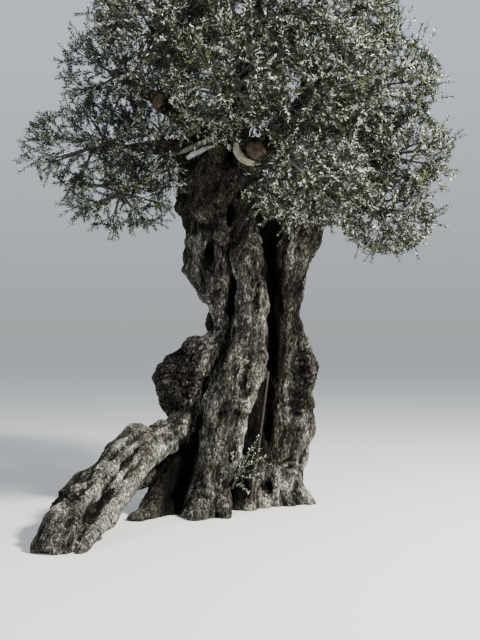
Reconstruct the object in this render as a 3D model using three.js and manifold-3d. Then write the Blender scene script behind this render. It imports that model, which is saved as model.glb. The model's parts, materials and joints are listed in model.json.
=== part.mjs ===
// An old pollarded olive tree, rooted in level ground. Sizes are in millimetres and +Z is up. The trunk is
// hollow with age and has split into three stems round a dark cleft: a left stem with a great burl, which
// runs down into a long root leg, a knotted centre stem and a separate right stem. Left and centre stems
// meet in one heavy head, and the boughs spread from that head and from the head of the right stem. Each
// bough carries one mass of foliage, whose twigs fan out from a single stem and bear stiff, narrow leaves.
import * as THREE from "three";
import { mergeVertices } from "three/addons/utils/BufferGeometryUtils.js";
import Module from "manifold-3d";

const wasm = await Module();
wasm.setup();

// Driving dimensions
const CLEARANCE = 0.3; // between solids that meet face to face
const TREE_TOP = 5400; // no twig or leaf goes above this
const STEM_SIDES = 10;
const BOUGH_SIDES = 7;
const ROOT_SIDES = 6;
const TWIG_SIDES = 3;
const RINGS_PER_GAP = 2; // rings of a bough between one station and the next
const COLLAR_SWELL = 1.12; // a bough's root inside the limb it leaves, as a share of its joint
const FLUTE = 0.07; // how much the ridges of a stem or root stand out, as a share of its radius
const LIMB_ROOM = 14; // foliage stays this far from a limb
const NEIGHBOUR_ROOM = 12; // a mass stays this far from the plane between it and the next
const CORE_REACH = { least: 0.384, spread: 0.372 }; // of a dense mass's core, as shares of its space
const WOOD_TOLERANCE = 18; // facets flatter than this are merged
const LEAF_TOLERANCE = 3;
const LEAF = { length: 340, width: 126, thickness: 16, sunk: 10 };
const LEAF_SPACING = 0.18; // along a twig, as a share of it
const CHECKED_SHARES = [0.4, 0.6, 0.8, 0.9, 1]; // where along a twig its room is tested
const SHORTEST_TWIG = 0.15; // a twig that finds less room is left out, as a share of its whole way
const BASAL_LEAF = { length: 84, width: 24, thickness: 4, sunk: 3 };
// How many twigs a mass has and leaves on each, how far short of the space's skin a twig may stop, and
// whether the mass has a core.
const HABITS = {
  dense: { twigs: 10, leaves: 3, ragged: 0.06, core: true },
  open: { twigs: 8, leaves: 3, ragged: 0.2, core: false },
  shoots: { twigs: 4, leaves: 3, ragged: 0.3, core: false },
};
const FIRST_SEED = 101;
const GOLDEN_ANGLE = Math.PI * (3 - Math.sqrt(5));

const vector = (p) => new THREE.Vector3(p[0], p[1], p[2]);

// A repeatable stream of numbers from 0 to 1.
function randomFrom(seed) {
  let state = seed >>> 0;
  return () => {
    state = (Math.imul(state, 1664525) + 1013904223) >>> 0;
    return state / 4294967296;
  };
}

// A geometry whose faces share their corners.
function welded(geometry) {
  geometry.deleteAttribute("normal");
  geometry.deleteAttribute("uv");
  return mergeVertices(geometry, 1e-3);
}

// A closed three.js geometry as a solid that can be joined and cut.
function solidOf(geometry) {
  const merged = welded(geometry);
  return new wasm.Manifold(
    new wasm.Mesh({
      numProp: 3,
      vertProperties: merged.attributes.position.array,
      triVerts: new Uint32Array(merged.index.array),
    }),
  );
}

// The outer body of a solid: what a join seals inside it is filled, and loose scraps are dropped.
function outerBody(solid) {
  return solid.decompose().reduce((a, b) => (a.volume() > b.volume() ? a : b));
}

function geometryOf(solid) {
  const mesh = solid.getMesh();
  const geometry = new THREE.BufferGeometry();
  geometry.setAttribute("position", new THREE.BufferAttribute(mesh.vertProperties, 3));
  geometry.setIndex(new THREE.BufferAttribute(mesh.triVerts, 1));
  return geometry.toNonIndexed();
}

// A smooth curve from b to c, for t from 0 to 1, that also heeds their neighbours a and d: Catmull-Rom.
function smoothed(a, b, c, d, t) {
  const square = (2 * a - 5 * b + 4 * c - d) * t * t;
  const cube = (3 * b - a - 3 * c + d) * t * t * t;
  return 0.5 * (2 * b + (c - a) * t + square + cube);
}

// The rings of a limb that runs smoothly through stations [x, y, z, radius]. Each has its direction along
// the limb and two directions across it, which don't twist from ring to ring.
function ringsThrough(stations, perGap = RINGS_PER_GAP) {
  const last = stations.length - 1;
  const rings = [];
  for (let i = 0; i <= last * perGap; i++) {
    const gap = Math.min(Math.floor(i / perGap), last - 1);
    const t = i / perGap - gap;
    const near = [gap - 1, gap, gap + 1, gap + 2].map((k) => stations[Math.min(Math.max(k, 0), last)]);
    const value = (k) => smoothed(near[0][k], near[1][k], near[2][k], near[3][k], t);
    rings.push({ centre: new THREE.Vector3(value(0), value(1), value(2)), radius: value(3) });
  }
  let across = new THREE.Vector3(1, 0.001, 0.002);
  rings.forEach((ring, i) => {
    const before = rings[Math.max(i - 1, 0)].centre;
    const after = rings[Math.min(i + 1, rings.length - 1)].centre;
    ring.along = after.clone().sub(before).normalize();
    if (i === 0 && Math.abs(ring.along.x) > 0.9) across.set(0.001, 0.002, 1);
    across = across.clone().addScaledVector(ring.along, -across.dot(ring.along)).normalize();
    ring.across = across;
    ring.up = across.clone().cross(ring.along);
  });
  return rings;
}

// A tapering limb: a cylinder whose rows of vertices are moved onto the rings. A flute gives it ridges that
// wind slowly round it, and a swell makes it fatter all over.
function tube(rings, sides, flute = 0, swell = 0) {
  const geometry = new THREE.CylinderGeometry(1, 1, 1, sides, rings.length - 1);
  const place = geometry.attributes.position;
  for (let i = 0; i < place.count; i++) {
    const [x, z] = [place.getX(i), place.getZ(i)];
    const row = Math.round((place.getY(i) + 0.5) * (rings.length - 1));
    const ring = rings[row];
    const ridge = 1 + flute * Math.cos(4 * Math.atan2(z, x) + 0.7 * row);
    const radius = ring.radius * ridge + swell;
    const point = ring.centre
      .clone()
      .addScaledVector(ring.across, x * radius)
      .addScaledVector(ring.up, z * radius);
    place.setXYZ(i, point.x, point.y, point.z);
  }
  return solidOf(geometry);
}

// A lumpy ball, as a burl or the inner core of dense foliage. reachAt turns a direction into the way from
// its middle to its skin.
function lump(centre, detail, reachAt) {
  const geometry = welded(new THREE.IcosahedronGeometry(1, detail));
  const place = geometry.attributes.position;
  for (let i = 0; i < place.count; i++) {
    const direction = new THREE.Vector3().fromBufferAttribute(place, i).normalize();
    const point = reachAt(direction).add(centre);
    place.setXYZ(i, point.x, point.y, point.z);
  }
  return solidOf(geometry);
}

// The strands of the trunk, each from the ground or its neighbour up: [x, y, z, radius] at each station.
const trunkStrands = {
  rightStem: [
    [340, 250, -80, 330], [338, 250, 150, 282], [345, 250, 330, 258], [430, 245, 690, 258],
    [446, 240, 970, 236], [460, 230, 1260, 196], [455, 220, 1500, 158], [418, 215, 1840, 148],
    [445, 205, 2130, 172], [478, 190, 2420, 222], [520, 180, 2630, 278], [560, 170, 2850, 268],
    [590, 160, 3010, 150],
  ],
  centreStem: [
    [-330, -400, -80, 240], [-315, -400, 95, 196], [-275, -400, 330, 168], [-175, -390, 578, 195],
    [-140, -375, 790, 205], [-110, -350, 982, 206], [-50, -320, 1160, 196], [30, -270, 1325, 212],
    [85, -210, 1508, 172], [100, -170, 1740, 150], [105, -130, 1980, 146], [98, -110, 2180, 146],
    [52, -90, 2370, 148], [48, -70, 2520, 112], [80, -50, 2790, 92], [70, -40, 2960, 120],
  ],
  leftStem: [
    [-230, 10, 2760, 250], [-290, 5, 2540, 226], [-315, 0, 2330, 214], [-290, -10, 2180, 216],
    [-228, -20, 2040, 182], [-172, -30, 1920, 116], [-162, -35, 1780, 96], [-160, -40, 1640, 104],
    [-240, -55, 1500, 142], [-320, -80, 1280, 166], [-395, -110, 980, 156], [-460, -180, 820, 158],
    [-585, -320, 680, 150],
  ],
  hollowWall: [[-400, -60, 800, 190], [-450, -60, 480, 195], [-470, -70, 220, 205], [-480, -80, -80, 235]],
  cleftWall: [
    [40, 30, -80, 290], [90, 120, 240, 235], [140, 240, 700, 205], [190, 280, 1400, 150],
    [215, 250, 2100, 150], [180, 160, 2600, 190], [60, 50, 2950, 210],
  ],
  backStem: [
    [80, 760, -80, 330], [75, 700, 160, 262], [70, 620, 600, 236], [60, 540, 1100, 205],
    [20, 450, 1650, 178], [-40, 340, 2150, 196], [-90, 230, 2600, 240], [-110, 150, 2900, 240],
  ],
  backLeftStem: [
    [-500, 560, -80, 280], [-470, 540, 130, 222], [-400, 460, 520, 196], [-320, 370, 980, 175],
    [-190, 280, 1500, 146], [-130, 200, 2000, 140], [-190, 110, 2500, 210],
  ],
  thinStrand: [[-255, 60, 2160, 40], [-262, 60, 1900, 32], [-262, 70, 1640, 30], [-300, 60, 1320, 60]],
  head: [
    [-170, 60, 2300, 120], [-165, 40, 2470, 225], [-165, 20, 2640, 306], [-175, 10, 2810, 362],
    [-170, 10, 3010, 374], [-150, 20, 3200, 320], [-110, 25, 3390, 130],
  ],
  headBridge: [[-20, 100, 2900, 190], [240, 150, 2800, 150], [500, 180, 2780, 190]],
};

// The long root leg, which leaves the foot of the left stem, bends and comes down to the ground in front.
const legStrands = {
  outer: [
    [-470, -200, 780, 150], [-640, -360, 690, 134], [-790, -500, 662, 142], [-890, -610, 652, 158],
    [-985, -780, 572, 158], [-1106, -1020, 444, 158], [-1206, -1270, 314, 166], [-1305, -1520, 190, 172],
    [-1362, -1720, 80, 160], [-1400, -1860, -60, 150],
  ],
  inner: [
    [-600, -420, 640, 105], [-730, -560, 590, 98], [-835, -760, 500, 86], [-914, -950, 396, 78],
    [-955, -1200, 296, 74], [-1005, -1420, 200, 70], [-1079, -1580, 128, 62], [-1139, -1780, 45, 50],
    [-1180, -1900, -30, 42],
  ],
  under: [
    [-480, -60, 520, 150], [-700, -190, 410, 130], [-870, -440, 345, 105], [-930, -760, 330, 88],
    [-940, -1060, 320, 66],
  ],
};
const legJoint = { at: [-760, -480, 0], heading: [-0.77, -0.64, 0] };

// Ridges of root that run out over the ground from the foot of the trunk.
const rootRidges = {
  rightToe: [[430, 190, 260, 120], [560, 140, 90, 92], [650, 100, 0, 62], [680, 85, -60, 40]],
  frontToe: [[-300, -460, 240, 120], [-350, -560, 100, 92], [-390, -640, 0, 62], [-400, -680, -60, 40]],
  middleToe: [[-190, -430, 220, 110], [-150, -510, 90, 84], [-120, -570, -10, 58], [-110, -590, -60, 36]],
  hollowRoot: [[-450, -150, 110, 150], [-690, -400, 70, 100], [-860, -620, 20, 66], [-930, -720, -50, 40]],
  backRightToe: [[330, 480, 300, 150], [480, 650, 130, 115], [600, 790, 10, 72], [650, 850, -60, 40]],
  backToe: [[60, 820, 280, 160], [40, 990, 110, 118], [20, 1130, -10, 66], [10, 1180, -60, 40]],
  backLeftToe: [[-560, 600, 280, 150], [-700, 740, 130, 110], [-820, 850, 0, 70], [-860, 890, -60, 40]],
  leftToe: [[-540, -40, 260, 130], [-670, 50, 110, 96], [-780, 110, 0, 60], [-820, 130, -60, 36]],
};

// Burls and knuckles: centre, half sizes and fineness.
const burls = {
  greatBurl: { at: [-535, 10, 1135], size: [262, 250, 345], detail: 2 },
  burlShoulder: { at: [-410, -30, 1440], size: [150, 150, 140], detail: 1 },
  hangingKnob: { at: [-440, -20, 2250], size: [100, 120, 150], detail: 0 },
  brow: { at: [-400, -10, 2820], size: [140, 200, 190], detail: 0 },
  upperRightBurl: { at: [612, 200, 1270], size: [135, 150, 185], detail: 1 },
  lowerRightBurl: { at: [570, 180, 980], size: [140, 150, 200], detail: 1 },
  centreKnee: { at: [165, -255, 1440], size: [106, 120, 150], detail: 0 },
  leftKnee: { at: [-70, -300, 1400], size: [110, 120, 120], detail: 0 },
  frontKnee: { at: [-100, -430, 960], size: [205, 150, 130], detail: 1 },
  rightFoot: { at: [180, 30, 60], size: [190, 160, 190], detail: 0 },
};
const legKnee = { at: [-860, -580, 690], size: [135, 120, 100], detail: 1 };
const legKnob = { at: [-1330, -1480, 270], size: [120, 130, 130], detail: 1 };

// The sawn end of an old limb, which faces forward below the crown, and a thin root that leans in the dark
// cleft.
const sawnStub = [[-40, -60, 3060, 175], [60, -240, 3180, 160], [140, -430, 3262, 148]];
const looseRoot = [[268, -20, 1260, 17], [205, -110, 800, 15], [150, -190, 420, 16], [80, -220, -60, 22]];

// Boughs: the limb each leaves, its path, its radius at the joint and at the tip, and the mass it carries.
// A path starts inside that limb and goes through the joint and any bend. The bough ends where it enters
// its mass.
const boughs = {
  left_bough: {
    from: "trunk", mass: "left_far_foliage", radii: [116, 76],
    path: [[-160, -50, 3170], [-545, -105, 3300], [-700, -100, 3345]],
  },
  low_left_bough: {
    from: "left_bough", mass: "left_low_foliage", radii: [58, 50],
    path: [[-615, -100, 3330], [-680, -118, 3190]],
  },
  upper_left_bough: {
    from: "trunk", mass: "left_upper_foliage", radii: [130, 84],
    path: [[-180, 50, 3150], [-350, 50, 3490], [-550, 30, 3710]],
  },
  left_top_bough: {
    from: "upper_left_bough", mass: "left_top_foliage", radii: [68, 46],
    path: [[-520, 34, 3680], [-560, 40, 3900], [-600, 20, 4060]],
  },
  front_left_bough: {
    from: "upper_left_bough", mass: "front_left_foliage", radii: [58, 42],
    path: [[-460, 40, 3610], [-500, -135, 3720]],
  },
  centre_top_bough: {
    from: "trunk", mass: "centre_top_foliage", radii: [120, 70],
    path: [[-60, 20, 3180], [-20, 20, 3540], [30, -30, 3950]],
  },
  front_top_bough: {
    from: "centre_top_bough", mass: "front_top_foliage", radii: [58, 42],
    path: [[0, 0, 3800], [40, -180, 3930]],
  },
  back_top_bough: {
    from: "centre_top_bough", mass: "back_top_foliage", radii: [58, 42],
    path: [[-10, 15, 3700], [-10, 195, 3830]],
  },
  upper_right_bough: {
    from: "trunk", mass: "right_upper_foliage", radii: [112, 64],
    path: [[20, 20, 3080], [270, 0, 3410], [520, -20, 3640]],
  },
  right_top_bough: {
    from: "upper_right_bough", mass: "right_top_foliage", radii: [60, 44],
    path: [[480, -15, 3605], [570, 0, 3830], [650, -20, 3970]],
  },
  front_right_upper_bough: {
    from: "upper_right_bough", mass: "front_right_upper_foliage", radii: [58, 42],
    path: [[400, -10, 3540], [470, -165, 3600]],
  },
  front_bough: {
    from: "trunk", mass: "front_centre_foliage", radii: [90, 60],
    path: [[-150, -100, 3130], [-190, -420, 3350]],
  },
  right_bough: {
    from: "trunk", mass: "right_far_foliage", radii: [128, 84],
    path: [[540, 170, 2790], [770, 125, 3010], [880, 95, 3085]],
  },
  low_right_bough: {
    from: "right_bough", mass: "right_low_foliage", radii: [54, 48],
    path: [[880, 95, 3085], [905, 35, 2940]],
  },
  front_right_bough: {
    from: "trunk", mass: "front_right_foliage", radii: [98, 66],
    path: [[520, 150, 2760], [555, -170, 2880]],
  },
  back_left_bough: {
    from: "trunk", mass: "back_left_foliage", radii: [100, 64],
    path: [[-180, 150, 3050], [-380, 420, 3200]],
  },
  back_bough: {
    from: "trunk", mass: "back_centre_foliage", radii: [100, 60],
    path: [[-60, 200, 3050], [-10, 530, 3240]],
  },
  back_right_bough: {
    from: "trunk", mass: "back_right_foliage", radii: [106, 74],
    path: [[540, 220, 2820], [650, 475, 2980]],
  },
};

// Masses of foliage: the middle and half sizes of the space each keeps to, and its habit. A dense mass has a
// core, which hides its twigs but for their ends. An open one is all twigs. A sprig is the end of one long
// twig that stands out of the crown on its own.
const masses = {
  left_low_foliage: { at: [-1130, -60, 2900], size: [540, 580, 345], habit: "open" },
  left_far_foliage: {
    at: [-1430, 20, 3380], size: [680, 600, 430], habit: "open", sprig: [-2060, 20, 3250],
  },
  left_upper_foliage: { at: [-1150, -40, 4050], size: [570, 640, 500], habit: "open" },
  left_top_foliage: { at: [-740, 60, 4720], size: [700, 760, 600], habit: "dense" },
  front_left_foliage: { at: [-760, -700, 4250], size: [540, 560, 480], habit: "dense" },
  centre_top_foliage: { at: [90, -150, 4850], size: [660, 640, 540], habit: "dense" },
  front_top_foliage: { at: [180, -800, 4540], size: [660, 620, 560], habit: "dense" },
  back_top_foliage: { at: [60, 760, 4600], size: [700, 640, 580], habit: "dense" },
  right_upper_foliage: { at: [1330, -80, 3960], size: [560, 680, 500], habit: "dense" },
  right_top_foliage: { at: [890, 40, 4600], size: [660, 780, 550], habit: "dense" },
  front_right_upper_foliage: { at: [700, -900, 3790], size: [600, 600, 540], habit: "dense" },
  front_centre_foliage: { at: [-80, -950, 3800], size: [620, 560, 500], habit: "dense" },
  right_far_foliage: {
    at: [1530, 0, 3330], size: [690, 600, 420], habit: "dense", sprig: [2160, 0, 3180],
  },
  right_low_foliage: { at: [1420, -60, 2730], size: [510, 600, 400], habit: "dense" },
  front_right_foliage: { at: [570, -820, 2970], size: [570, 520, 480], habit: "dense" },
  back_left_foliage: { at: [-900, 950, 3740], size: [660, 640, 680], habit: "open" },
  back_centre_foliage: {
    at: [60, 1280, 3600], size: [680, 600, 660], habit: "dense", sprig: [80, 1880, 3560],
  },
  back_right_foliage: { at: [1000, 970, 3500], size: [680, 640, 700], habit: "dense" },
};

// Young shoots that spring from the foot of the centre stem.
const basalShoots = { path: [[-250, -420, 190], [-70, -452, 236]], radii: [15, 12] };
const basalMass = { at: [85, -490, 560], size: [215, 140, 330], habit: "shoots" };

// The point where the line from a mass's middle to another point leaves its space.
function edgeToward(mass, point) {
  const offset = vector(point).sub(vector(mass.at));
  return vector(mass.at).addScaledVector(offset, 1 / offset.clone().divide(vector(mass.size)).length());
}

function boughStations({ path, radii, mass }) {
  const tip = edgeToward(masses[mass], path.at(-1)).toArray();
  const [jointRadius, tipRadius] = radii;
  const bends = path.slice(2).map((p) => [...p, (jointRadius + tipRadius) / 2]);
  return [[...path[0], jointRadius * COLLAR_SWELL], [...path[1], jointRadius], ...bends, [...tip, tipRadius]];
}

const boughRings = {};
for (const [name, bough] of Object.entries(boughs)) boughRings[name] = ringsThrough(boughStations(bough));
const basalRings = ringsThrough(basalShoots.path.map((p, i) => [...p, basalShoots.radii[i]]));

// The rings from the root to the joint make the collar, which is fused to the limb that the bough leaves.
// The rings from the joint on make the bough itself, drawn back from the collar by the clearance.
const collarOf = (rings) => tube(rings.slice(0, RINGS_PER_GAP + 1), BOUGH_SIDES);

const collarsOn = (limb) =>
  Object.keys(boughs)
    .filter((name) => boughs[name].from === limb)
    .map((name) => collarOf(boughRings[name]));

function drawnBack(ring) {
  return { ...ring, centre: ring.centre.clone().addScaledVector(ring.along, CLEARANCE) };
}

function makeBough(name) {
  const [first, ...rest] = boughRings[name].slice(RINGS_PER_GAP);
  const limb = tube([drawnBack(first), ...rest], BOUGH_SIDES);
  return outerBody(wasm.Manifold.union([limb, ...collarsOn(name)]));
}

// A burl is never round: its radius rises and falls with direction.
function burlSolid({ at, size, detail }) {
  return lump(vector(at), detail, (d) => {
    const swell = 1 + 0.07 * Math.sin(5 * d.x + 3 * d.z) * Math.cos(4 * d.y - 2 * d.z);
    return d.clone().multiply(vector(size)).multiplyScalar(swell);
  });
}

const stemSolid = (stations) => tube(ringsThrough(stations, 1), STEM_SIDES, FLUTE);
const rootSolid = (stations) => tube(ringsThrough(stations, 1), ROOT_SIDES);

// All space on the far side of the leg's joint, from a little way beyond it.
function beyondLegJoint(distance) {
  const heading = vector(legJoint.heading).normalize();
  const box = new THREE.BoxGeometry(6000, 6000, 6000).translate(3000 + distance, 0, 0);
  box.applyQuaternion(new THREE.Quaternion().setFromUnitVectors(new THREE.Vector3(1, 0, 0), heading));
  return solidOf(box.translate(...legJoint.at));
}

const aboveGround = solidOf(new THREE.BoxGeometry(8000, 8000, 6000).translate(0, 0, 3000));

function legWood() {
  return wasm.Manifold.union([
    stemSolid(legStrands.outer),
    rootSolid(legStrands.inner),
    rootSolid(legStrands.under),
    burlSolid(legKnee),
    burlSolid(legKnob),
  ]);
}

function makeTrunk() {
  const parts = [
    ...Object.values(trunkStrands).map(stemSolid),
    ...Object.values(rootRidges).map(rootSolid),
    ...Object.values(burls).map(burlSolid),
    legWood().subtract(beyondLegJoint(0)),
    tube(ringsThrough(sawnStub, 1), STEM_SIDES),
    rootSolid(looseRoot),
    tube(basalRings, BOUGH_SIDES),
    ...collarsOn("trunk"),
  ];
  return outerBody(wasm.Manifold.union(parts).intersect(aboveGround)).simplify(WOOD_TOLERANCE);
}

function makeLeg() {
  const leg = legWood().intersect(beyondLegJoint(CLEARANCE)).intersect(aboveGround);
  return outerBody(leg).simplify(WOOD_TOLERANCE);
}

// Every limb that foliage has to stay clear of, as short straight pieces with a radius.
const limbRings = [
  ...Object.values(trunkStrands).map((stations) => ringsThrough(stations, 1)),
  ...Object.values(boughRings),
  ringsThrough(sawnStub, 1),
];
const limbPieces = limbRings.flatMap((rings) =>
  rings.slice(1).map((ring, i) => ({
    line: new THREE.Line3(rings[i].centre, ring.centre),
    radius: Math.max(rings[i].radius, ring.radius),
  })),
);

function clearOfLimbs(point) {
  const nearest = new THREE.Vector3();
  return limbPieces.every(({ line, radius }) => {
    line.closestPointToPoint(point, true, nearest);
    return nearest.distanceTo(point) > radius + LIMB_ROOM;
  });
}

// Whether a point is in a mass's own space: its ellipsoid, less what lies beyond the plane that it shares
// with each neighbour. The plane divides the line between the two middles in the ratio of the half sizes
// along it.
function inSpace(mass, point) {
  const size = vector(mass.size);
  const middle = vector(mass.at);
  const offset = point.clone().sub(middle);
  if (point.z > TREE_TOP || offset.clone().divide(size).length() > 1) return false;
  if (mass === basalMass) return true;
  return Object.values(masses).every((other) => {
    if (other === mass) return true;
    const line = vector(other.at).sub(middle);
    const distance = line.length();
    line.normalize();
    const own = 1 / line.clone().divide(size).length();
    const theirs = 1 / line.clone().divide(vector(other.size)).length();
    return offset.dot(line) < (distance * own) / (own + theirs) - NEIGHBOUR_ROOM;
  });
}

const mayFill = (mass, points) => points.every((p) => inSpace(mass, p) && clearOfLimbs(p));

// The six corners of a leaf, an eight-faced sliver that is widest before its middle. Its root lies sunk in
// the twig.
function leafCorners(root, direction, face, leaf) {
  const side = direction.clone().cross(face).normalize();
  const normal = side.clone().cross(direction);
  const base = root.clone().addScaledVector(direction, -leaf.sunk);
  const widest = base.clone().addScaledVector(direction, leaf.length * 0.45);
  return {
    tip: base.clone().addScaledVector(direction, leaf.length),
    base,
    right: widest.clone().addScaledVector(side, leaf.width / 2),
    left: widest.clone().addScaledVector(side, -leaf.width / 2),
    top: widest.clone().addScaledVector(normal, leaf.thickness / 2),
    bottom: widest.clone().addScaledVector(normal, -leaf.thickness / 2),
  };
}

function leafSolid(corners) {
  const geometry = new THREE.OctahedronGeometry(1, 0);
  const place = geometry.attributes.position;
  for (let i = 0; i < place.count; i++) {
    let corner = place.getZ(i) > 0.5 ? corners.top : corners.bottom;
    if (Math.abs(place.getX(i)) > 0.5) corner = place.getX(i) > 0 ? corners.right : corners.left;
    if (Math.abs(place.getY(i)) > 0.5) corner = place.getY(i) > 0 ? corners.tip : corners.base;
    place.setXYZ(i, ...corner.toArray());
  }
  return solidOf(geometry);
}

// The core of a dense mass: a lumpy ball held inside the mass's own space and off every bough.
function makeCore(mass, random) {
  const middle = vector(mass.at);
  const core = lump(middle, 1, (d) => {
    const share = CORE_REACH.least + CORE_REACH.spread * random();
    const reach = d.clone().multiply(vector(mass.size)).multiplyScalar(share);
    let room = 1;
    while (room > 0.3 && !inSpace(mass, middle.clone().addScaledVector(reach, room))) room -= 0.04;
    return reach.multiplyScalar(room);
  });
  const roomForLimbs = Object.values(boughRings).map((rings) => tube(rings, BOUGH_SIDES, 0, LIMB_ROOM));
  return outerBody(core.subtract(wasm.Manifold.union(roomForLimbs)));
}

// Where the twigs of a mass make for. Each has its own share of the space's skin, a golden angle on from the
// last.
function twigGoals(mass, habit, random) {
  const goals = [];
  for (let i = 0; i < habit.twigs; i++) {
    const height = 1 - (2 * (i + 0.5)) / habit.twigs;
    const turn = i * GOLDEN_ANGLE + 0.5 * random();
    const level = Math.sqrt(1 - height * height);
    const toward = new THREE.Vector3(level * Math.cos(turn), level * Math.sin(turn), height);
    const reach = 1 - habit.ragged * random();
    goals.push(vector(mass.at).addScaledVector(toward.multiply(vector(mass.size)), reach));
  }
  if (mass.sprig) goals.push(vector(mass.sprig));
  return goals;
}

// The rule of growth. The stem of a mass runs on from its bough's tip to the middle of its space. Each twig
// leaves the stem for its goal and grows as far as it can go. A leaf stands at the tip of each twig and
// others behind it, each turned a golden angle from the last.
function growMass(mass, tipRing, leaf, seed) {
  const random = randomFrom(seed);
  const middle = vector(mass.at);
  const habit = HABITS[mass.habit];
  const foot = drawnBack(tipRing);
  const stemRings = [0, 0.5, 1].map((share) => ({
    ...foot,
    centre: foot.centre.clone().lerp(middle, share * 1.08),
    radius: foot.radius * (1 - 0.55 * share),
  }));
  const parts = [tube(stemRings, BOUGH_SIDES)];
  if (habit.core) parts.push(makeCore(mass, random));

  twigGoals(mass, habit, random).forEach((goal, i) => {
    const from = foot.centre.clone().lerp(middle, 0.5 + 0.5 * random());
    const whole = goal.clone().sub(from);
    const pointsTo = (end) => CHECKED_SHARES.map((s) => from.clone().addScaledVector(whole, end * s));
    let share = 1;
    while (share > 0.4 && !mayFill(mass, pointsTo(share))) share -= 0.03;
    share -= (leaf.length - leaf.sunk) / whole.length();
    if (share < SHORTEST_TWIG) return;
    const end = from.clone().addScaledVector(whole, share);
    const radius = leaf.width * 0.12;
    const stations = [from, end].map((p, n) => [...p.toArray(), radius * (1.5 - 0.8 * n)]);
    parts.push(tube(ringsThrough(stations, 1), TWIG_SIDES));

    const direction = whole.clone().normalize();
    const sideways = new THREE.Vector3(0, 0, 1).cross(direction).normalize();
    for (let k = 0; k < habit.leaves; k++) {
      const lean = sideways.clone().applyAxisAngle(direction, k * GOLDEN_ANGLE + i + random());
      const heading = direction.clone().addScaledVector(lean, k === 0 ? 0.1 : 0.8).normalize();
      const root = end.clone().lerp(from, k * LEAF_SPACING);
      const corners = leafCorners(root, heading, lean, leaf);
      const checked = [corners.tip, corners.left, corners.right, corners.top, corners.bottom];
      if (mayFill(mass, checked)) parts.push(leafSolid(corners));
    }
  });
  return outerBody(wasm.Manifold.union(parts)).simplify(LEAF_TOLERANCE);
}

// The tree
const bark = new THREE.MeshStandardMaterial({ color: 0x6e6a60, roughness: 0.95, metalness: 0 });
const foliage = new THREE.MeshStandardMaterial({ color: 0x5d6652, roughness: 0.7, metalness: 0 });
const wood = new THREE.Group();
const crown = new THREE.Group();
const tree = new THREE.Group().add(wood, crown);

function addNode(group, name, solid, material) {
  const mesh = new THREE.Mesh(geometryOf(solid), material.clone());
  mesh.name = name;
  group.add(mesh);
}

addNode(wood, "trunk", makeTrunk(), bark);
addNode(wood, "root_leg", makeLeg(), bark);
Object.entries(boughs).forEach(([name, bough], i) => {
  addNode(wood, name, makeBough(name), bark);
  const mass = growMass(masses[bough.mass], boughRings[name].at(-1), LEAF, FIRST_SEED + i);
  addNode(crown, bough.mass, mass, foliage);
});
const shoots = growMass(basalMass, basalRings.at(-1), BASAL_LEAF, FIRST_SEED - 1);
addNode(crown, "basal_shoots", shoots, foliage);

export default tree;
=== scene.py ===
# %% [markdown]
# # An old olive tree
#
# A pollarded olive, hundreds of years old, on level ground. Its trunk has gone hollow and split into three
# stems, a great burl hangs on the left one, and a long root leg leans out in front. Short boughs carry a
# round crown of small, narrow leaves, dark above and silvery beneath.
#
# The lesson makes it in the order of a real tree: the wood first, then the bark on it, then the twigs that
# grow from the boughs, and the leaves last. All lengths are in metres.

# %% The frame and its size
import json
import math
import random

import bpy
import numpy as np
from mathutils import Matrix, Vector
from mathutils.bvhtree import BVHTree
from mathutils.kdtree import KDTree

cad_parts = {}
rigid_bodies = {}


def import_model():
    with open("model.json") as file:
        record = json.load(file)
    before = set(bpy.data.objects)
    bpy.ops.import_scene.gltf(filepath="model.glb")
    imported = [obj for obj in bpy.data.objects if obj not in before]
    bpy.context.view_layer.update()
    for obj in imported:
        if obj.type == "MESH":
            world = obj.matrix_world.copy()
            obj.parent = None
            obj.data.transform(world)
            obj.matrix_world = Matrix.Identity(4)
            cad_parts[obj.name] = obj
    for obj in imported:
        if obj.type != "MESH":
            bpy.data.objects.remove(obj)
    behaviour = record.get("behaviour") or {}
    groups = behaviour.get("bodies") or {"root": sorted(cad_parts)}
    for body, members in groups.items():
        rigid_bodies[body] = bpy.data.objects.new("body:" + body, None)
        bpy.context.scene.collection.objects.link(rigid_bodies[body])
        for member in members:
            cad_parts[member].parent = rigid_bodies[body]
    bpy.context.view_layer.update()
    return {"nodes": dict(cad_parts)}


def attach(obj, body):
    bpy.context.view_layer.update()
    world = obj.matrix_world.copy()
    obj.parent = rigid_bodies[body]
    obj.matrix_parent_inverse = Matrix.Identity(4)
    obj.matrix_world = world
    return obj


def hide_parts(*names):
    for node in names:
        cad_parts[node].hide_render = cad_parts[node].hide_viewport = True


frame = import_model()

# %% [markdown]
# ## The camera
#
# The tree is seen by someone standing 8.7 m away. Their eyes are 1.6 m above the ground, so the horizon
# crosses the trunk about half way up. A lens of 52 mm takes in the trunk and the lower crown, and the top
# of the crown runs out of the picture. The camera tilts up less than a degree, so the stems stay upright.

# %% Camera
EYE = Vector((0.0, -8.7, 1.6))
TILT_UP = math.radians(0.93)

bpy.ops.object.camera_add(location=EYE, rotation=(math.radians(90) + TILT_UP, 0, 0))
camera = bpy.context.object
camera.data.sensor_width = 36
camera.data.lens = 52
bpy.context.scene.camera = camera
print("camera", tuple(EYE), camera.data.lens)

# %% [markdown]
# ## Small helpers
#
# Operators act on whatever is selected, so each step starts by selecting just its own objects. Modifiers are
# applied at once, because the finished piece has to be plain geometry. What repeats by the thousand is
# modelled once and then laid out as rows of numbers, in one mesh.


# %% Selecting, joining and applying
def pick(*objects):
    bpy.ops.object.select_all(action="DESELECT")
    for each in objects:
        each.select_set(True)
    bpy.context.view_layer.objects.active = objects[-1]
    return objects[-1]


def named(piece, name):
    piece.name = name
    piece.data.name = name
    return piece


def joined(objects, name):
    pick(*objects)
    bpy.ops.object.join()
    return named(bpy.context.object, name)


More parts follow.
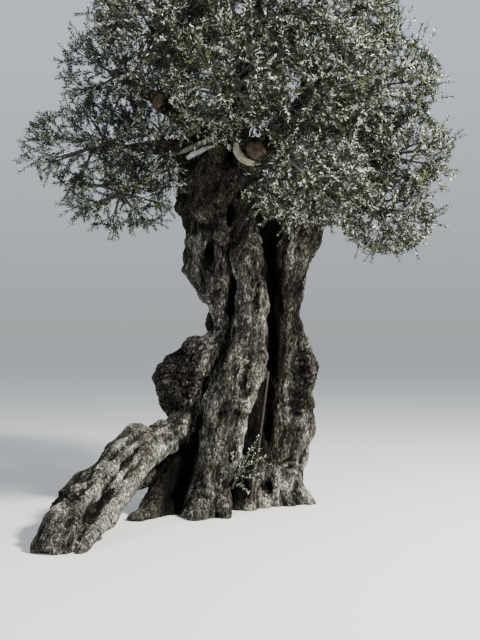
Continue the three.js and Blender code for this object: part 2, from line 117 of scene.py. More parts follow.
def finish_with(piece, kind, **settings):
    modifier = piece.modifiers.new(kind.title(), kind)
    for key, value in settings.items():
        setattr(modifier, key, value)
    pick(piece)
    bpy.ops.object.modifier_apply(modifier=modifier.name)


def apply_place(piece):
    pick(piece)
    bpy.ops.object.transform_apply(location=True, rotation=True, scale=True)


def edited(piece):
    pick(piece)
    bpy.ops.object.mode_set(mode="EDIT")


def done_editing():
    bpy.ops.object.mode_set(mode="OBJECT")


def on_all_of(piece, operator, **settings):
    edited(piece)
    bpy.ops.mesh.select_all(action="SELECT")
    operator(**settings)
    done_editing()


# %% Meshes as rows of numbers
def corners(piece):
    places = np.empty(len(piece.data.vertices) * 3)
    piece.data.vertices.foreach_get("co", places)
    return places.reshape(-1, 3)


def unit(vectors):
    return vectors / np.linalg.norm(vectors, axis=-1, keepdims=True)


def depth_in(points, middle, half):
    """0 in the middle of an egg and 1 on its skin."""
    return np.linalg.norm((points - np.array(middle)) / np.array(half), axis=-1)


def mesh_piece(name, parts):
    corners_all = []
    faces_all = []
    used = 0
    for places, faces in parts:
        corners_all.append(places)
        faces_all.extend([[corner + used for corner in face] for face in faces])
        used += len(places)
    mesh = bpy.data.meshes.new(name)
    mesh.from_pydata(np.concatenate(corners_all).tolist(), [], faces_all)
    piece = bpy.data.objects.new(name, mesh)
    bpy.context.scene.collection.objects.link(piece)
    return piece


def copies_of(faces, placed):
    """Corners and faces of many copies of one shape. placed has the corners of each copy."""
    shift = (np.arange(len(placed)) * placed.shape[1])[:, None]
    rows = []
    for face in faces:
        rows.extend((shift + np.array(face)).tolist())
    return placed.reshape(-1, 3), rows


def taken_apart(piece):
    """The corners and faces of a shape that was only modelled to be copied."""
    shape = corners(piece)
    faces = [list(face.vertices) for face in piece.data.polygons]
    bpy.data.objects.remove(piece)
    return shape, faces


# %% [markdown]
# ## The wood
#
# An old olive doesn't have one round trunk. Its stems are bundles of living strands, each of which feeds one
# bough from one root, with dead wood between them. The model does the same. It starts from a merged copy of
# the frame's solids, so that every limb stays where the frame has it, and lays smooth strands over them. A
# sculpted mesh would do as well, but it could not be changed by a number.
#
# Each stem and root is a list of stations: x, y, z and the radius there.

# %% Stems
STEMS = {
    "right": [
        (0.34, 0.25, -0.08, 0.33), (0.338, 0.25, 0.15, 0.282), (0.345, 0.25, 0.33, 0.258),
        (0.43, 0.245, 0.69, 0.258), (0.446, 0.24, 0.97, 0.236), (0.46, 0.23, 1.26, 0.196),
        (0.455, 0.22, 1.5, 0.158), (0.418, 0.215, 1.84, 0.148), (0.445, 0.205, 2.13, 0.172),
        (0.478, 0.19, 2.42, 0.222), (0.52, 0.18, 2.63, 0.278), (0.56, 0.17, 2.85, 0.268),
    ],
    "centre": [
        (-0.33, -0.4, -0.08, 0.24), (-0.315, -0.4, 0.095, 0.196), (-0.275, -0.4, 0.33, 0.168),
        (-0.175, -0.39, 0.578, 0.195), (-0.14, -0.375, 0.79, 0.205), (-0.11, -0.35, 0.982, 0.206),
        (-0.05, -0.32, 1.16, 0.196), (0.03, -0.27, 1.325, 0.212), (0.085, -0.21, 1.508, 0.172),
        (0.1, -0.17, 1.74, 0.15), (0.105, -0.13, 1.98, 0.146), (0.098, -0.11, 2.18, 0.146),
        (0.052, -0.09, 2.37, 0.148), (0.048, -0.07, 2.52, 0.112), (0.08, -0.05, 2.79, 0.092),
    ],
    "left": [
        (-0.585, -0.32, 0.68, 0.15), (-0.46, -0.18, 0.82, 0.158), (-0.395, -0.11, 0.98, 0.156),
        (-0.32, -0.08, 1.28, 0.166), (-0.24, -0.055, 1.5, 0.142), (-0.16, -0.04, 1.64, 0.104),
        (-0.162, -0.035, 1.78, 0.096), (-0.172, -0.03, 1.92, 0.116), (-0.228, -0.02, 2.04, 0.182),
        (-0.29, -0.01, 2.18, 0.216), (-0.315, 0.0, 2.33, 0.214), (-0.29, 0.005, 2.54, 0.226),
        (-0.23, 0.01, 2.76, 0.25),
    ],
    "head": [
        (-0.165, 0.04, 2.47, 0.225), (-0.165, 0.02, 2.64, 0.306), (-0.175, 0.01, 2.81, 0.362),
        (-0.17, 0.01, 3.01, 0.374), (-0.15, 0.02, 3.2, 0.32),
    ],
    "hollow_wall": [
        (-0.48, -0.08, -0.08, 0.235), (-0.47, -0.07, 0.22, 0.205), (-0.45, -0.06, 0.48, 0.195),
        (-0.4, -0.06, 0.8, 0.19),
    ],
    "cleft_wall": [
        (0.04, 0.03, -0.08, 0.29), (0.09, 0.12, 0.24, 0.235), (0.14, 0.24, 0.7, 0.205),
        (0.19, 0.28, 1.4, 0.15), (0.215, 0.25, 2.1, 0.15), (0.18, 0.16, 2.6, 0.19),
    ],
    "back": [
        (0.08, 0.76, -0.08, 0.33), (0.075, 0.7, 0.16, 0.262), (0.07, 0.62, 0.6, 0.236),
        (0.06, 0.54, 1.1, 0.205), (0.02, 0.45, 1.65, 0.178), (-0.04, 0.34, 2.15, 0.196),
        (-0.09, 0.23, 2.6, 0.24), (-0.11, 0.15, 2.9, 0.24),
    ],
    "back_left": [
        (-0.5, 0.56, -0.08, 0.28), (-0.47, 0.54, 0.13, 0.222), (-0.4, 0.46, 0.52, 0.196),
        (-0.32, 0.37, 0.98, 0.175), (-0.19, 0.28, 1.5, 0.146), (-0.13, 0.2, 2.0, 0.14),
    ],
    "leg": [
        (-0.64, -0.36, 0.69, 0.134), (-0.79, -0.5, 0.662, 0.142), (-0.89, -0.61, 0.652, 0.158),
        (-0.985, -0.78, 0.572, 0.158), (-1.106, -1.02, 0.444, 0.158), (-1.206, -1.27, 0.314, 0.166),
        (-1.305, -1.52, 0.19, 0.172), (-1.362, -1.72, 0.08, 0.16), (-1.4, -1.86, -0.06, 0.15),
    ],
    "inner_leg": [
        (-0.73, -0.56, 0.59, 0.098), (-0.835, -0.76, 0.5, 0.086), (-0.914, -0.95, 0.396, 0.078),
        (-0.955, -1.2, 0.296, 0.074), (-1.005, -1.42, 0.2, 0.07), (-1.079, -1.58, 0.128, 0.062),
        (-1.139, -1.78, 0.045, 0.05), (-1.18, -1.9, -0.03, 0.042),
    ],
    "under_leg": [
        (-0.48, -0.06, 0.52, 0.15), (-0.7, -0.19, 0.41, 0.13), (-0.87, -0.44, 0.345, 0.105),
        (-0.93, -0.76, 0.33, 0.088), (-0.94, -1.06, 0.32, 0.066),
    ],
    "right_burl": [
        (0.52, 0.2, 1.62, 0.09), (0.58, 0.2, 1.47, 0.1), (0.615, 0.2, 1.34, 0.118),
        (0.61, 0.2, 1.18, 0.12), (0.56, 0.2, 1.06, 0.12),
    ],
    "hollow_flank": [
        (-0.56, -0.27, 0.46, 0.12), (-0.67, -0.4, 0.27, 0.105), (-0.77, -0.52, 0.1, 0.092),
        (-0.83, -0.6, -0.06, 0.085),
    ],
}
print("stems", len(STEMS))

# %% Roots
ROOTS = {
    "right_toe": [(0.43, 0.19, 0.26, 0.12), (0.56, 0.14, 0.09, 0.092), (0.67, 0.09, -0.04, 0.066)],
    "front_toe": [(-0.3, -0.46, 0.24, 0.12), (-0.35, -0.56, 0.1, 0.092), (-0.395, -0.67, -0.04, 0.066)],
    "middle_toe": [(-0.19, -0.43, 0.22, 0.11), (-0.15, -0.51, 0.09, 0.084), (-0.11, -0.585, -0.04, 0.062)],
    "hollow_root": [(-0.45, -0.15, 0.11, 0.15), (-0.69, -0.4, 0.07, 0.1), (-0.915, -0.705, -0.03, 0.072)],
    "back_right_toe": [(0.33, 0.48, 0.3, 0.15), (0.48, 0.65, 0.13, 0.115), (0.64, 0.84, -0.04, 0.066)],
    "back_toe": [(0.06, 0.82, 0.28, 0.16), (0.04, 0.99, 0.11, 0.118), (0.01, 1.165, -0.04, 0.066)],
    "back_left_toe": [(-0.56, 0.6, 0.28, 0.15), (-0.7, 0.74, 0.13, 0.11), (-0.85, 0.88, -0.04, 0.066)],
    "left_toe": [(-0.54, -0.04, 0.26, 0.13), (-0.67, 0.05, 0.11, 0.096), (-0.81, 0.125, -0.04, 0.062)],
}
STUBS = {
    "sawn_limb": [(-0.05, 0.0, 3.06, 0.16), (0.06, -0.24, 3.18, 0.15), (0.138, -0.425, 3.26, 0.148)],
    "upper_left": [(-0.55, 0.03, 3.71, 0.1), (-0.66, -0.07, 3.735, 0.088), (-0.755, -0.155, 3.762, 0.08)],
}
print("roots", len(ROOTS), "sawn stubs", len(STUBS))

# %% [markdown]
# ## Boughs and their masses of foliage
#
# Each bough ends in a mass of foliage with its own egg-shaped space, and the eggs together make the crown's
# outline. A bough has its path, from inside the limb that it leaves, and its radius at the joint and where
# it enters its mass. From there it runs on to the middle of the mass as that mass's stem. A mass has its
# middle, its half sizes and a habit. The four masses on the left are open, and the sky shows through them.

# %% Boughs
BOUGHS = {
    "left": ("left_far", 0.116, 0.076, [(-0.16, -0.05, 3.17), (-0.545, -0.105, 3.3), (-0.7, -0.1, 3.345)]),
    "low_left": ("left_low", 0.058, 0.05, [(-0.615, -0.1, 3.33), (-0.68, -0.118, 3.19)]),
    "upper_left": ("left_upper", 0.13, 0.084, [(-0.18, 0.05, 3.15), (-0.35, 0.05, 3.49), (-0.55, 0.03, 3.7)]),
    "left_top": ("left_top", 0.068, 0.046, [(-0.52, 0.034, 3.68), (-0.56, 0.04, 3.9), (-0.6, 0.02, 4.06)]),
    "front_left": ("front_left", 0.058, 0.042, [(-0.46, 0.04, 3.61), (-0.5, -0.135, 3.72)]),
    "centre_top": ("centre_top", 0.12, 0.07, [(-0.06, 0.02, 3.18), (-0.02, 0.02, 3.54), (0.03, -0.03, 3.95)]),
    "front_top": ("front_top", 0.058, 0.042, [(0.0, 0.0, 3.8), (0.04, -0.18, 3.93)]),
    "back_top": ("back_top", 0.058, 0.042, [(-0.01, 0.015, 3.7), (-0.01, 0.195, 3.83)]),
    "upper_right": ("right_upper", 0.112, 0.064, [(0.02, 0.02, 3.08), (0.27, 0, 3.41), (0.52, -0.02, 3.64)]),
    "right_top": ("right_top", 0.06, 0.044, [(0.48, -0.015, 3.605), (0.57, 0.0, 3.83), (0.65, -0.02, 3.97)]),
    "front_right_upper": ("front_right_upper", 0.058, 0.042, [(0.4, -0.01, 3.54), (0.47, -0.165, 3.6)]),
    "front": ("front_centre", 0.09, 0.06, [(-0.15, -0.1, 3.13), (-0.19, -0.42, 3.35)]),
    "right": ("right_far", 0.128, 0.084, [(0.54, 0.17, 2.79), (0.77, 0.125, 3.01), (0.88, 0.095, 3.085)]),
    "low_right": ("right_low", 0.054, 0.048, [(0.88, 0.095, 3.085), (0.905, 0.035, 2.94)]),
    "front_right": ("front_right", 0.098, 0.066, [(0.52, 0.15, 2.76), (0.555, -0.17, 2.88)]),
    "back_left": ("back_left", 0.1, 0.064, [(-0.18, 0.15, 3.05), (-0.38, 0.42, 3.2)]),
    "back": ("back_centre", 0.1, 0.06, [(-0.06, 0.2, 3.05), (-0.01, 0.53, 3.24)]),
    "back_right": ("back_right", 0.106, 0.074, [(0.54, 0.22, 2.82), (0.65, 0.475, 2.98)]),
}
print("boughs", len(BOUGHS))

# %% Masses
MASSES = {
    "left_low": ((-1.13, -0.06, 2.9), (0.54, 0.58, 0.345), "open"),
    "left_far": ((-1.43, 0.02, 3.38), (0.68, 0.6, 0.43), "open"),
    "left_upper": ((-1.15, -0.04, 4.05), (0.57, 0.64, 0.5), "open"),
    "left_top": ((-0.74, 0.06, 4.72), (0.7, 0.76, 0.6), "dense"),
    "front_left": ((-0.76, -0.7, 4.25), (0.54, 0.56, 0.48), "dense"),
    "centre_top": ((0.09, -0.15, 4.85), (0.66, 0.64, 0.54), "dense"),
    "front_top": ((0.18, -0.8, 4.54), (0.66, 0.62, 0.56), "dense"),
    "back_top": ((0.06, 0.76, 4.6), (0.7, 0.64, 0.58), "dense"),
    "right_upper": ((1.33, -0.08, 3.96), (0.56, 0.68, 0.5), "dense"),
    "right_top": ((0.89, 0.04, 4.6), (0.66, 0.78, 0.55), "dense"),
    "front_right_upper": ((0.7, -0.9, 3.79), (0.6, 0.6, 0.54), "dense"),
    "front_centre": ((-0.08, -0.95, 3.8), (0.62, 0.56, 0.5), "dense"),
    "right_far": ((1.46, 0.0, 3.33), (0.56, 0.6, 0.42), "dense"),
    "right_low": ((1.38, -0.06, 2.73), (0.48, 0.6, 0.4), "dense"),
    "front_right": ((0.57, -0.82, 2.97), (0.57, 0.52, 0.48), "dense"),
    "back_left": ((-0.9, 0.95, 3.74), (0.66, 0.64, 0.68), "open"),
    "back_centre": ((0.06, 1.28, 3.6), (0.68, 0.6, 0.66), "dense"),
    "back_right": ((1.0, 0.97, 3.5), (0.68, 0.64, 0.7), "dense"),
}
print("masses", len(MASSES))

# %% Where a bough enters its mass
# How much thicker a bough is inside the limb that it leaves. Then the stem in a bough's mass: shares of the
# way from the mass's edge to its middle, and how slim the stem is there.
SUNK_THICKER = 1.12
STEM_IN_MASS = [(0, 1), (0.55, 0.7), (1.08, 0.42)]


def edge_toward(middle, half, point):
    middle = np.array(middle)
    offset = np.array(point) - middle
    return middle + offset / np.linalg.norm(offset / np.array(half))


def bough_stations(mass, joint_radius, tip_radius, path):
    """A bough and its mass's stem, which ends a little past the mass's middle."""
    middle, half, _ = MASSES[mass]
    tip = edge_toward(middle, half, path[-1])
    between = (joint_radius + tip_radius) / 2
    stations = [(*path[0], joint_radius * SUNK_THICKER), (*path[1], joint_radius)]
    stations += [(*place, between) for place in path[2:]]
    for share, slim in STEM_IN_MASS:
        stations.append((*(tip + (np.array(middle) - tip) * share), tip_radius * slim))
    return stations


print("stations of one bough", len(bough_stations(*BOUGHS["left"])))

# %% A limb through stations
# How finely a limb is divided round itself and between its stations.
LIMB_FINENESS = 5


def limb(stations, name="limb"):
    bpy.ops.curve.primitive_bezier_curve_add()
    curve = bpy.context.object
    points = curve.data.splines[0].bezier_points
    points.add(len(stations) - len(points))
    for point, (x, y, z, radius) in zip(points, stations):
        point.co = (x, y, z)
        point.radius = radius
        point.handle_left_type = "AUTO"
        point.handle_right_type = "AUTO"
    curve.data.dimensions = "3D"
    curve.data.bevel_depth = 1
    curve.data.bevel_resolution = LIMB_FINENESS
    curve.data.resolution_u = LIMB_FINENESS
    curve.data.use_fill_caps = True
    pick(curve)
    bpy.ops.object.convert(target="MESH")
    bpy.context.object.name = name
    return bpy.context.object


wood = [limb(stations, name) for name, stations in {**STEMS, **ROOTS, **STUBS}.items()]
wood += [limb(bough_stations(*bough), name) for name, bough in BOUGHS.items()]
print("smooth limbs", len(wood))

# %% [markdown]
# ## Strands and veins
#
# The living strands stand out of a stem as long ridges that wind slowly round it. A vein is a thin limb that
# follows its stem at nearly the stem's radius, so only its outer side shows. It wanders to and fro, and its
# own radius swells and shrinks along the way, which gives the knotted look.


# %% Points and directions along a line
def even_points(path, count):
    """Points at even steps along a path, with all that its rows hold."""
    rows = np.array(path)
    steps = np.linspace(0, len(rows) - 1, count)
    return np.stack([np.interp(steps, np.arange(len(rows)), column) for column in rows.T], 1)


def square_to(ways, turns, aside):
    """Directions square to ways and turned round them. No way may run along the direction aside."""
    across = unit(np.cross(ways, aside))
    return across * np.cos(turns)[..., None] + np.cross(across, ways) * np.sin(turns)[..., None]


# %% Veins
VEINS = {"right": 9, "centre": 8, "left": 9, "head": 10, "hollow_wall": 5, "cleft_wall": 6}
VEINS.update({"back": 8, "back_left": 6, "leg": 7, "inner_leg": 3, "under_leg": 4})
VEINS.update({"hollow_flank": 5, "right_burl": 5})
# Where a vein lies and how thick it is, as shares of its stem's radius, and how far it wanders at each step.
VEIN_DEPTH = 0.84
VEIN_THICKNESS = 0.25
VEIN_WANDER = 0.16
# A direction that no stem runs along.
STEM_ASIDE = (0.13, 0.99, 0.05)


def vein(stations, angle, turns, rng):
    rows = even_points(stations, 2 * len(stations) - 1)
    middles, radii = rows[:, :3], rows[:, 3]
    ways = unit(np.gradient(middles, axis=0))
    wander = np.cumsum([rng.uniform(-VEIN_WANDER, VEIN_WANDER) for _ in rows])
    turn = angle + turns * 2 * math.pi * np.linspace(0, 1, len(rows)) + wander
    sunk = np.array([rng.uniform(0.93, 1.05) for _ in rows]) * VEIN_DEPTH
    places = middles + square_to(ways, turn, STEM_ASIDE) * (radii * sunk)[:, None]
    widths = radii * VEIN_THICKNESS * np.array([rng.uniform(0.65, 1.35) for _ in rows])
    return [(*place, width) for place, width in zip(places, widths)]


rng = random.Random(11)
for name, count in VEINS.items():
    for i in range(count):
        angle = 2 * math.pi * (i + rng.uniform(-0.25, 0.25)) / count
        wood.append(limb(vein(STEMS[name], angle, rng.uniform(-0.35, 0.15), rng), "vein"))
print("limbs and veins", len(wood))

# %% [markdown]
# ## Burls
#
# A burl is a growth with hundreds of sleeping buds, so its skin is a crowd of small knobs. One ball is
# modelled, and copies of it sit half sunk all over each burl. Carving the skin by hand would give the same
# look, but here its roughness hangs on two numbers, the count and the size of the knobs.

# %% Knobs
BURLS = {
    "great": ((-0.535, 0.010, 1.135), (0.262, 0.250, 0.345), 430),
    "upper_right": ((0.612, 0.200, 1.270), (0.135, 0.150, 0.185), 70),
    "lower_right": ((0.570, 0.180, 0.980), (0.140, 0.150, 0.200), 60),
    "leg": ((-1.330, -1.480, 0.270), (0.120, 0.130, 0.130), 20),
}
KNOB_RADIUS = (0.016, 0.042)
# How far out knobs sit, as shares of their burl's half size.
KNOB_DEPTH = (0.82, 0.93)

bpy.ops.mesh.primitive_ico_sphere_add(subdivisions=2, radius=1)
ball, ball_faces = taken_apart(bpy.context.object)
rng = np.random.default_rng(23)
knobs = []
for middle, half, count in BURLS.values():
    toward = unit(rng.normal(0, 1, (count, 3)))
    places = np.array(middle) + toward * np.array(half) * rng.uniform(*KNOB_DEPTH, (count, 1))
    sizes = KNOB_RADIUS[0] + (KNOB_RADIUS[1] - KNOB_RADIUS[0]) * rng.uniform(0, 1, (count, 1, 1)) ** 1.5
    knobs.append(copies_of(ball_faces, places[:, None] + ball * sizes))
wood.append(mesh_piece("knobs", knobs))
print("knobs", sum(count for _, _, count in BURLS.values()))

# %% [markdown]
# ## One skin over all the wood
#
# The limbs, veins and knobs still pass through each other. A voxel remesh melts them into one closed skin
# with even faces, which is what bark relief needs. The copied solids are rounded by a subdivision first, so
# that none of their flat facets shows. Their foot is extruded down before that, so that the cut at the
# ground can be made cleanly at the very end.

# %% Copies of the frame's wood
LIMB_NODES = {
    "trunk_bark": ["trunk"],
    "leg_bark": ["root_leg"],
    "bough_bark": [name + "_bough" for name in BOUGHS],
}
FOLIAGE_NODES = [name + "_foliage" for name in MASSES]
FOOT_DEPTH = 0.2


def merged_copy(nodes, name):
    copies = []
    for node in nodes:
        copy = bpy.data.objects.new(node + "_copy", frame["nodes"][node].data.copy())
        bpy.context.scene.collection.objects.link(copy)
        copies.append(copy)
    whole = joined(copies, name)
    whole.data.materials.clear()
    on_all_of(whole, bpy.ops.mesh.remove_doubles, threshold=1e-5)
    return whole


def extend_foot(piece):
    edited(piece)
    bpy.ops.mesh.select_all(action="DESELECT")
    done_editing()
    for face in piece.data.polygons:
        face.select = face.normal.z < -0.99 and face.center.z < 0.001
    edited(piece)
    bpy.ops.mesh.extrude_region_move(TRANSFORM_OT_translate={"value": (0, 0, -FOOT_DEPTH)})
    done_editing()


copies = {name: merged_copy(nodes, name + "_copy") for name, nodes in LIMB_NODES.items()}
depsgraph = bpy.context.evaluated_depsgraph_get()
shapes = {name: BVHTree.FromObject(copy, depsgraph) for name, copy in copies.items()}
extend_foot(copies["trunk_bark"])
extend_foot(copies["leg_bark"])
for copy in copies.values():
    finish_with(copy, "SUBSURF", levels=2, render_levels=2)
print("copied", {name: len(copy.data.polygons) for name, copy in copies.items()})

# %% The skin
VOXEL = 0.0108

bark = joined([*wood, *copies.values()], "bark")
finish_with(bark, "REMESH", mode="VOXEL", voxel_size=VOXEL, use_smooth_shade=True)
finish_with(bark, "SMOOTH", factor=0.5, iterations=4)
print("skin faces", len(bark.data.polygons))

# %% [markdown]
# ## Hollows, folds and lips
#
# Where old limbs died, the wood has rotted out in dark hollows, and live wood has rolled over their edges.
# Where a stem bends under its own weight, the bark is pushed into folds. Both are sculpted: each mark has a
# middle, half sizes and a push along the surface's own normals, which fades towards the mark's edge.

# %% Marks on the skin
HOLLOWS = [
    ((-0.275, -0.22, 2.38), (0.050, 0.20, 0.150), 0.080),
    ((-0.325, -0.22, 2.25), (0.034, 0.16, 0.060), 0.050),
    ((-0.090, -0.33, 2.68), (0.030, 0.20, 0.130), 0.080),
    ((-0.062, -0.26, 2.06), (0.030, 0.25, 0.200), 0.060),
    ((0.175, -0.28, 2.01), (0.026, 0.15, 0.090), 0.070),
    ((-0.262, -0.35, 1.25), (0.034, 0.16, 0.055), 0.080),
    ((-0.520, -0.45, 0.80), (0.060, 0.16, 0.038), 0.060),
    ((0.230, 0.00, 0.16), (0.110, 0.26, 0.150), 0.130),
    ((-1.060, -0.98, 0.52), (0.045, 0.08, 0.040), 0.045),
    ((-0.960, -0.60, 0.60), (0.050, 0.10, 0.050), 0.045),
    ((0.100, 1.02, 1.05), (0.070, 0.40, 0.300), 0.080),
]
LIPS = [
    ((-0.225, -0.24, 2.52), (0.120, 0.20, 0.060), 0.036),
    ((-0.190, -0.26, 2.33), (0.050, 0.16, 0.160), 0.030),
    ((-0.390, -0.16, 2.36), (0.090, 0.18, 0.180), 0.028),
    ((-0.490, -0.05, 2.22), (0.090, 0.14, 0.090), 0.045),
    ((0.205, -0.28, 2.00), (0.026, 0.14, 0.110), 0.020),
    ((0.150, -0.36, 2.12), (0.050, 0.14, 0.050), 0.022),
    ((-0.105, -0.55, 0.99), (0.210, 0.20, 0.150), 0.008),
    ((0.170, -0.38, 1.40), (0.090, 0.14, 0.070), 0.026),
    ((0.640, 0.10, 0.84), (0.110, 0.20, 0.050), 0.024),
]
FOLDS = [
    ((-0.105, -0.56, 0.95), (0.260, 0.22, 0.190), 0.005, 0.090),
    ((0.500, 0.02, 0.90), (0.240, 0.26, 0.160), 0.008, 0.090),
    ((0.480, 0.02, 0.38), (0.230, 0.26, 0.110), 0.010, 0.080),
    ((0.120, -0.42, 1.40), (0.180, 0.20, 0.150), 0.006, 0.090),
    ((-0.330, -0.56, 0.22), (0.220, 0.20, 0.140), 0.008, 0.080),
    ((-0.480, -0.20, 0.66), (0.300, 0.28, 0.140), 0.010, 0.100),
]
# Grooves between strands: points x, z of the line as seen from the front, half width and depth.
GROOVES = [
    ([(-0.050, 2.20), (-0.062, 2.00), (-0.075, 1.80), (-0.080, 1.64)], 0.026, 0.020),
    ([(-0.080, 1.64), (-0.136, 1.45), (-0.222, 1.30), (-0.294, 1.20)], 0.026, 0.016),
    ([(-0.294, 1.20), (-0.330, 1.00), (-0.355, 0.78), (-0.380, 0.62)], 0.026, 0.014),
    ([(-0.880, 0.62), (-0.975, 0.50), (-1.045, 0.37), (-1.130, 0.23), (-1.230, 0.08)], 0.032, 0.030),
    ([(0.045, 1.30), (0.020, 1.05), (-0.040, 0.80), (-0.070, 0.50)], 0.035, 0.018),
    ([(0.480, 1.90), (0.470, 1.60), (0.440, 1.30), (0.400, 0.90)], 0.035, 0.016),
    ([(0.130, 2.10), (0.140, 1.90), (0.120, 1.70)], 0.030, 0.018),
]
print("marks", len(HOLLOWS) + len(LIPS) + len(FOLDS) + len(GROOVES))


# %% How a mark fades
def fading(places, middle, half):
    """1 in the middle of an egg, fading to 0 on its skin."""
    share = np.clip(1 - depth_in(places, middle, half), 0, 1)
    return share * share * (3 - 2 * share)


def share_between(values, low, high):
    return np.clip((values - low) / (high - low), 0, 1)


def along_path(places, path, radius):
    """1 near the path, fading to 0 at the radius."""
    nearest = np.full(len(places), radius)
    for start, end in zip(np.array(path)[:-1], np.array(path)[1:]):
        way = end - start
        share = np.clip((places - start) @ way / (way @ way), 0, 1)
        nearest = np.minimum(nearest, np.linalg.norm(places - start - share[:, None] * way, axis=1))
    return 1 - share_between(nearest, 0.3 * radius, radius)


def normals_of(piece):
    normals = np.empty(len(piece.data.vertices) * 3)
    piece.data.vertex_normals.foreach_get("vector", normals)
    return normals.reshape(-1, 3)


# %% Sculpting
# A fold sags away from its middle and is a little wavy, with so many radians of wave to the metre.
FOLD_SAG = 0.12
FOLD_WAVE = 0.02
WAVES = 23

places = corners(bark)
push = np.zeros(len(places))
for middle, half, depth in HOLLOWS:
    push -= depth * fading(places, middle, half)
for middle, half, height in LIPS:
    push += height * fading(places, middle, half)
for middle, half, height, spacing in FOLDS:
    sag = FOLD_SAG * np.abs(places[:, 0] - middle[0])
    bent = places[:, 2] + sag + FOLD_WAVE * np.sin(places[:, 0] * WAVES)
    push += height * np.cos((bent - middle[2]) * 2 * math.pi / spacing) * fading(places, middle, half)
# Grooves are cut only where the skin faces the front.
facing = share_between(-normals_of(bark)[:, 1], 0.1, 0.5) * share_between(-places[:, 1], -0.02, 0.08)
for path, half_width, depth in GROOVES:
    push -= depth * facing * along_path(places[:, ::2], path, half_width * 1.5)
bark.data.vertices.foreach_set("co", (places + normals_of(bark) * push[:, None]).ravel())
bark.data.update()
print("sculpted points", int((np.abs(push) > 0.001).sum()))

# %% [markdown]
# ## The bark's relief
#
# Olive bark on old wood is broken into small plates, longer than wide, with cracks between them. Displace
# modifiers cut it: soft swells and lumps, long furrows, the plates, and fine grit. Each reads a texture
# through an empty that is stretched along the grain, upright on the stems and slanting on the leg. The burls
# get round pits in place of plates.


# %% Relief helpers
def relief_texture(name, kind, size, **settings):
    texture = bpy.data.textures.new(name, kind)
    texture.noise_scale = size
    for key, value in settings.items():
        setattr(texture, key, value)
    return texture


def grain_guide(name, direction, stretch):
    bpy.ops.object.empty_add(location=(0, 0, 0))
    guide = bpy.context.object
    guide.name = name
    guide.rotation_mode = "QUATERNION"
    guide.rotation_quaternion = Vector(direction).to_track_quat("Z", "Y")
    guide.scale = (1, 1, stretch)
    return guide


def group_by(piece, name, weights):
    group = piece.vertex_groups.new(name=name)
    for step in range(1, 11):
        chosen = np.flatnonzero(np.round(weights * 10) == step)
        group.add(chosen.tolist(), step / 10, "REPLACE")


def weight_on_burls(places):
    """1 on a burl, fading to 0 at one and a half times its size."""
    weight = np.zeros(len(places))
    for middle, half, _ in BURLS.values():
        weight = np.maximum(weight, 1 - share_between(depth_in(places, middle, half), 1.05, 1.50))
    return weight


# %% Where each kind of relief goes
places = corners(bark)
on_leg = share_between(-places[:, 1], 0.45, 0.75) * share_between(-places[:, 0], 0.45, 0.75)
on_burl = weight_on_burls(places)
group_by(bark, "leg", on_leg)
group_by(bark, "stems", (1 - on_leg) * (1 - on_burl))
group_by(bark, "burls", on_burl)
print("points on burls", int((on_burl > 0.5).sum()), "on the leg", int((on_leg > 0.5).sum()))

# %% Relief
upright = grain_guide("upright_grain", (0.05, -0.03, 1), 2.6)
slanting = grain_guide("slanting_grain", (-0.35, -0.78, -0.42), 2.6)
level = grain_guide("even_grain", (0, 0, 1), 1)
swells = relief_texture("swells", "CLOUDS", 0.19, noise_depth=0)
lumps = relief_texture("lumps", "CLOUDS", 0.085, noise_depth=1)
furrows = relief_texture("furrows", "CLOUDS", 0.040, noise_depth=1)
plates = relief_texture("plates", "VORONOI", 0.024, weight_1=-1, weight_2=1)
grit = relief_texture("grit", "CLOUDS", 0.014, noise_depth=1)
pits = relief_texture("pits", "VORONOI", 0.030)
# Texture, guide, depth, the level that stays put, and the group of points it works on.
RELIEF = [
    (swells, level, 0.055, 0.5, ""),
    (lumps, upright, 0.030, 0.5, "stems"),
    (lumps, slanting, 0.040, 0.5, "leg"),
    (lumps, level, 0.040, 0.5, "burls"),
    (furrows, upright, 0.018, 0.5, "stems"),
    (furrows, slanting, 0.018, 0.5, "leg"),
    (plates, upright, 0.009, 0.2, "stems"),
    (plates, slanting, 0.009, 0.2, "leg"),
    (pits, level, 0.028, 0.4, "burls"),
    (grit, upright, 0.007, 0.5, ""),
]
for texture, guide, depth, middle_level, group in RELIEF:
    finish_with(
        bark, "DISPLACE", texture=texture, texture_coords="OBJECT", texture_coords_object=guide,
        strength=depth, mid_level=middle_level, vertex_group=group,
    )
pick(upright, slanting, level)
bpy.ops.object.delete()
print("relief", [texture.name for texture, *_ in RELIEF])

# %% [markdown]
# ## The cut at the ground, and where painted shade and light go on the bark
#
# The tree is cut flat at ground level by a bisect that fills the cut. Then each point of the bark notes three
# things in three channels. The first is how far it stands out of its surroundings or lies sunk in them, which
# is measured against smoothed copies of the skin, and it paints shade into sunk places and light onto raised
# ones. It is lowered by painted shade inside the cleft and the hollows, which are nearly black and whose
# rotten wood is dark too, and less by painted shade on the left sides, away from the lamp. The second is how
# much it belongs to a burl, where the bark is painted in shade. The third is how bare and bleached the wood
# is.

# %% Ground cut
UP = (0, 0, 1)

on_all_of(bark, bpy.ops.mesh.bisect, plane_co=(0, 0, 0), plane_no=UP, clear_inner=True, use_fill=True)
print("bark faces", len(bark.data.polygons), "lowest", round(float(corners(bark)[:, 2].min()), 4))
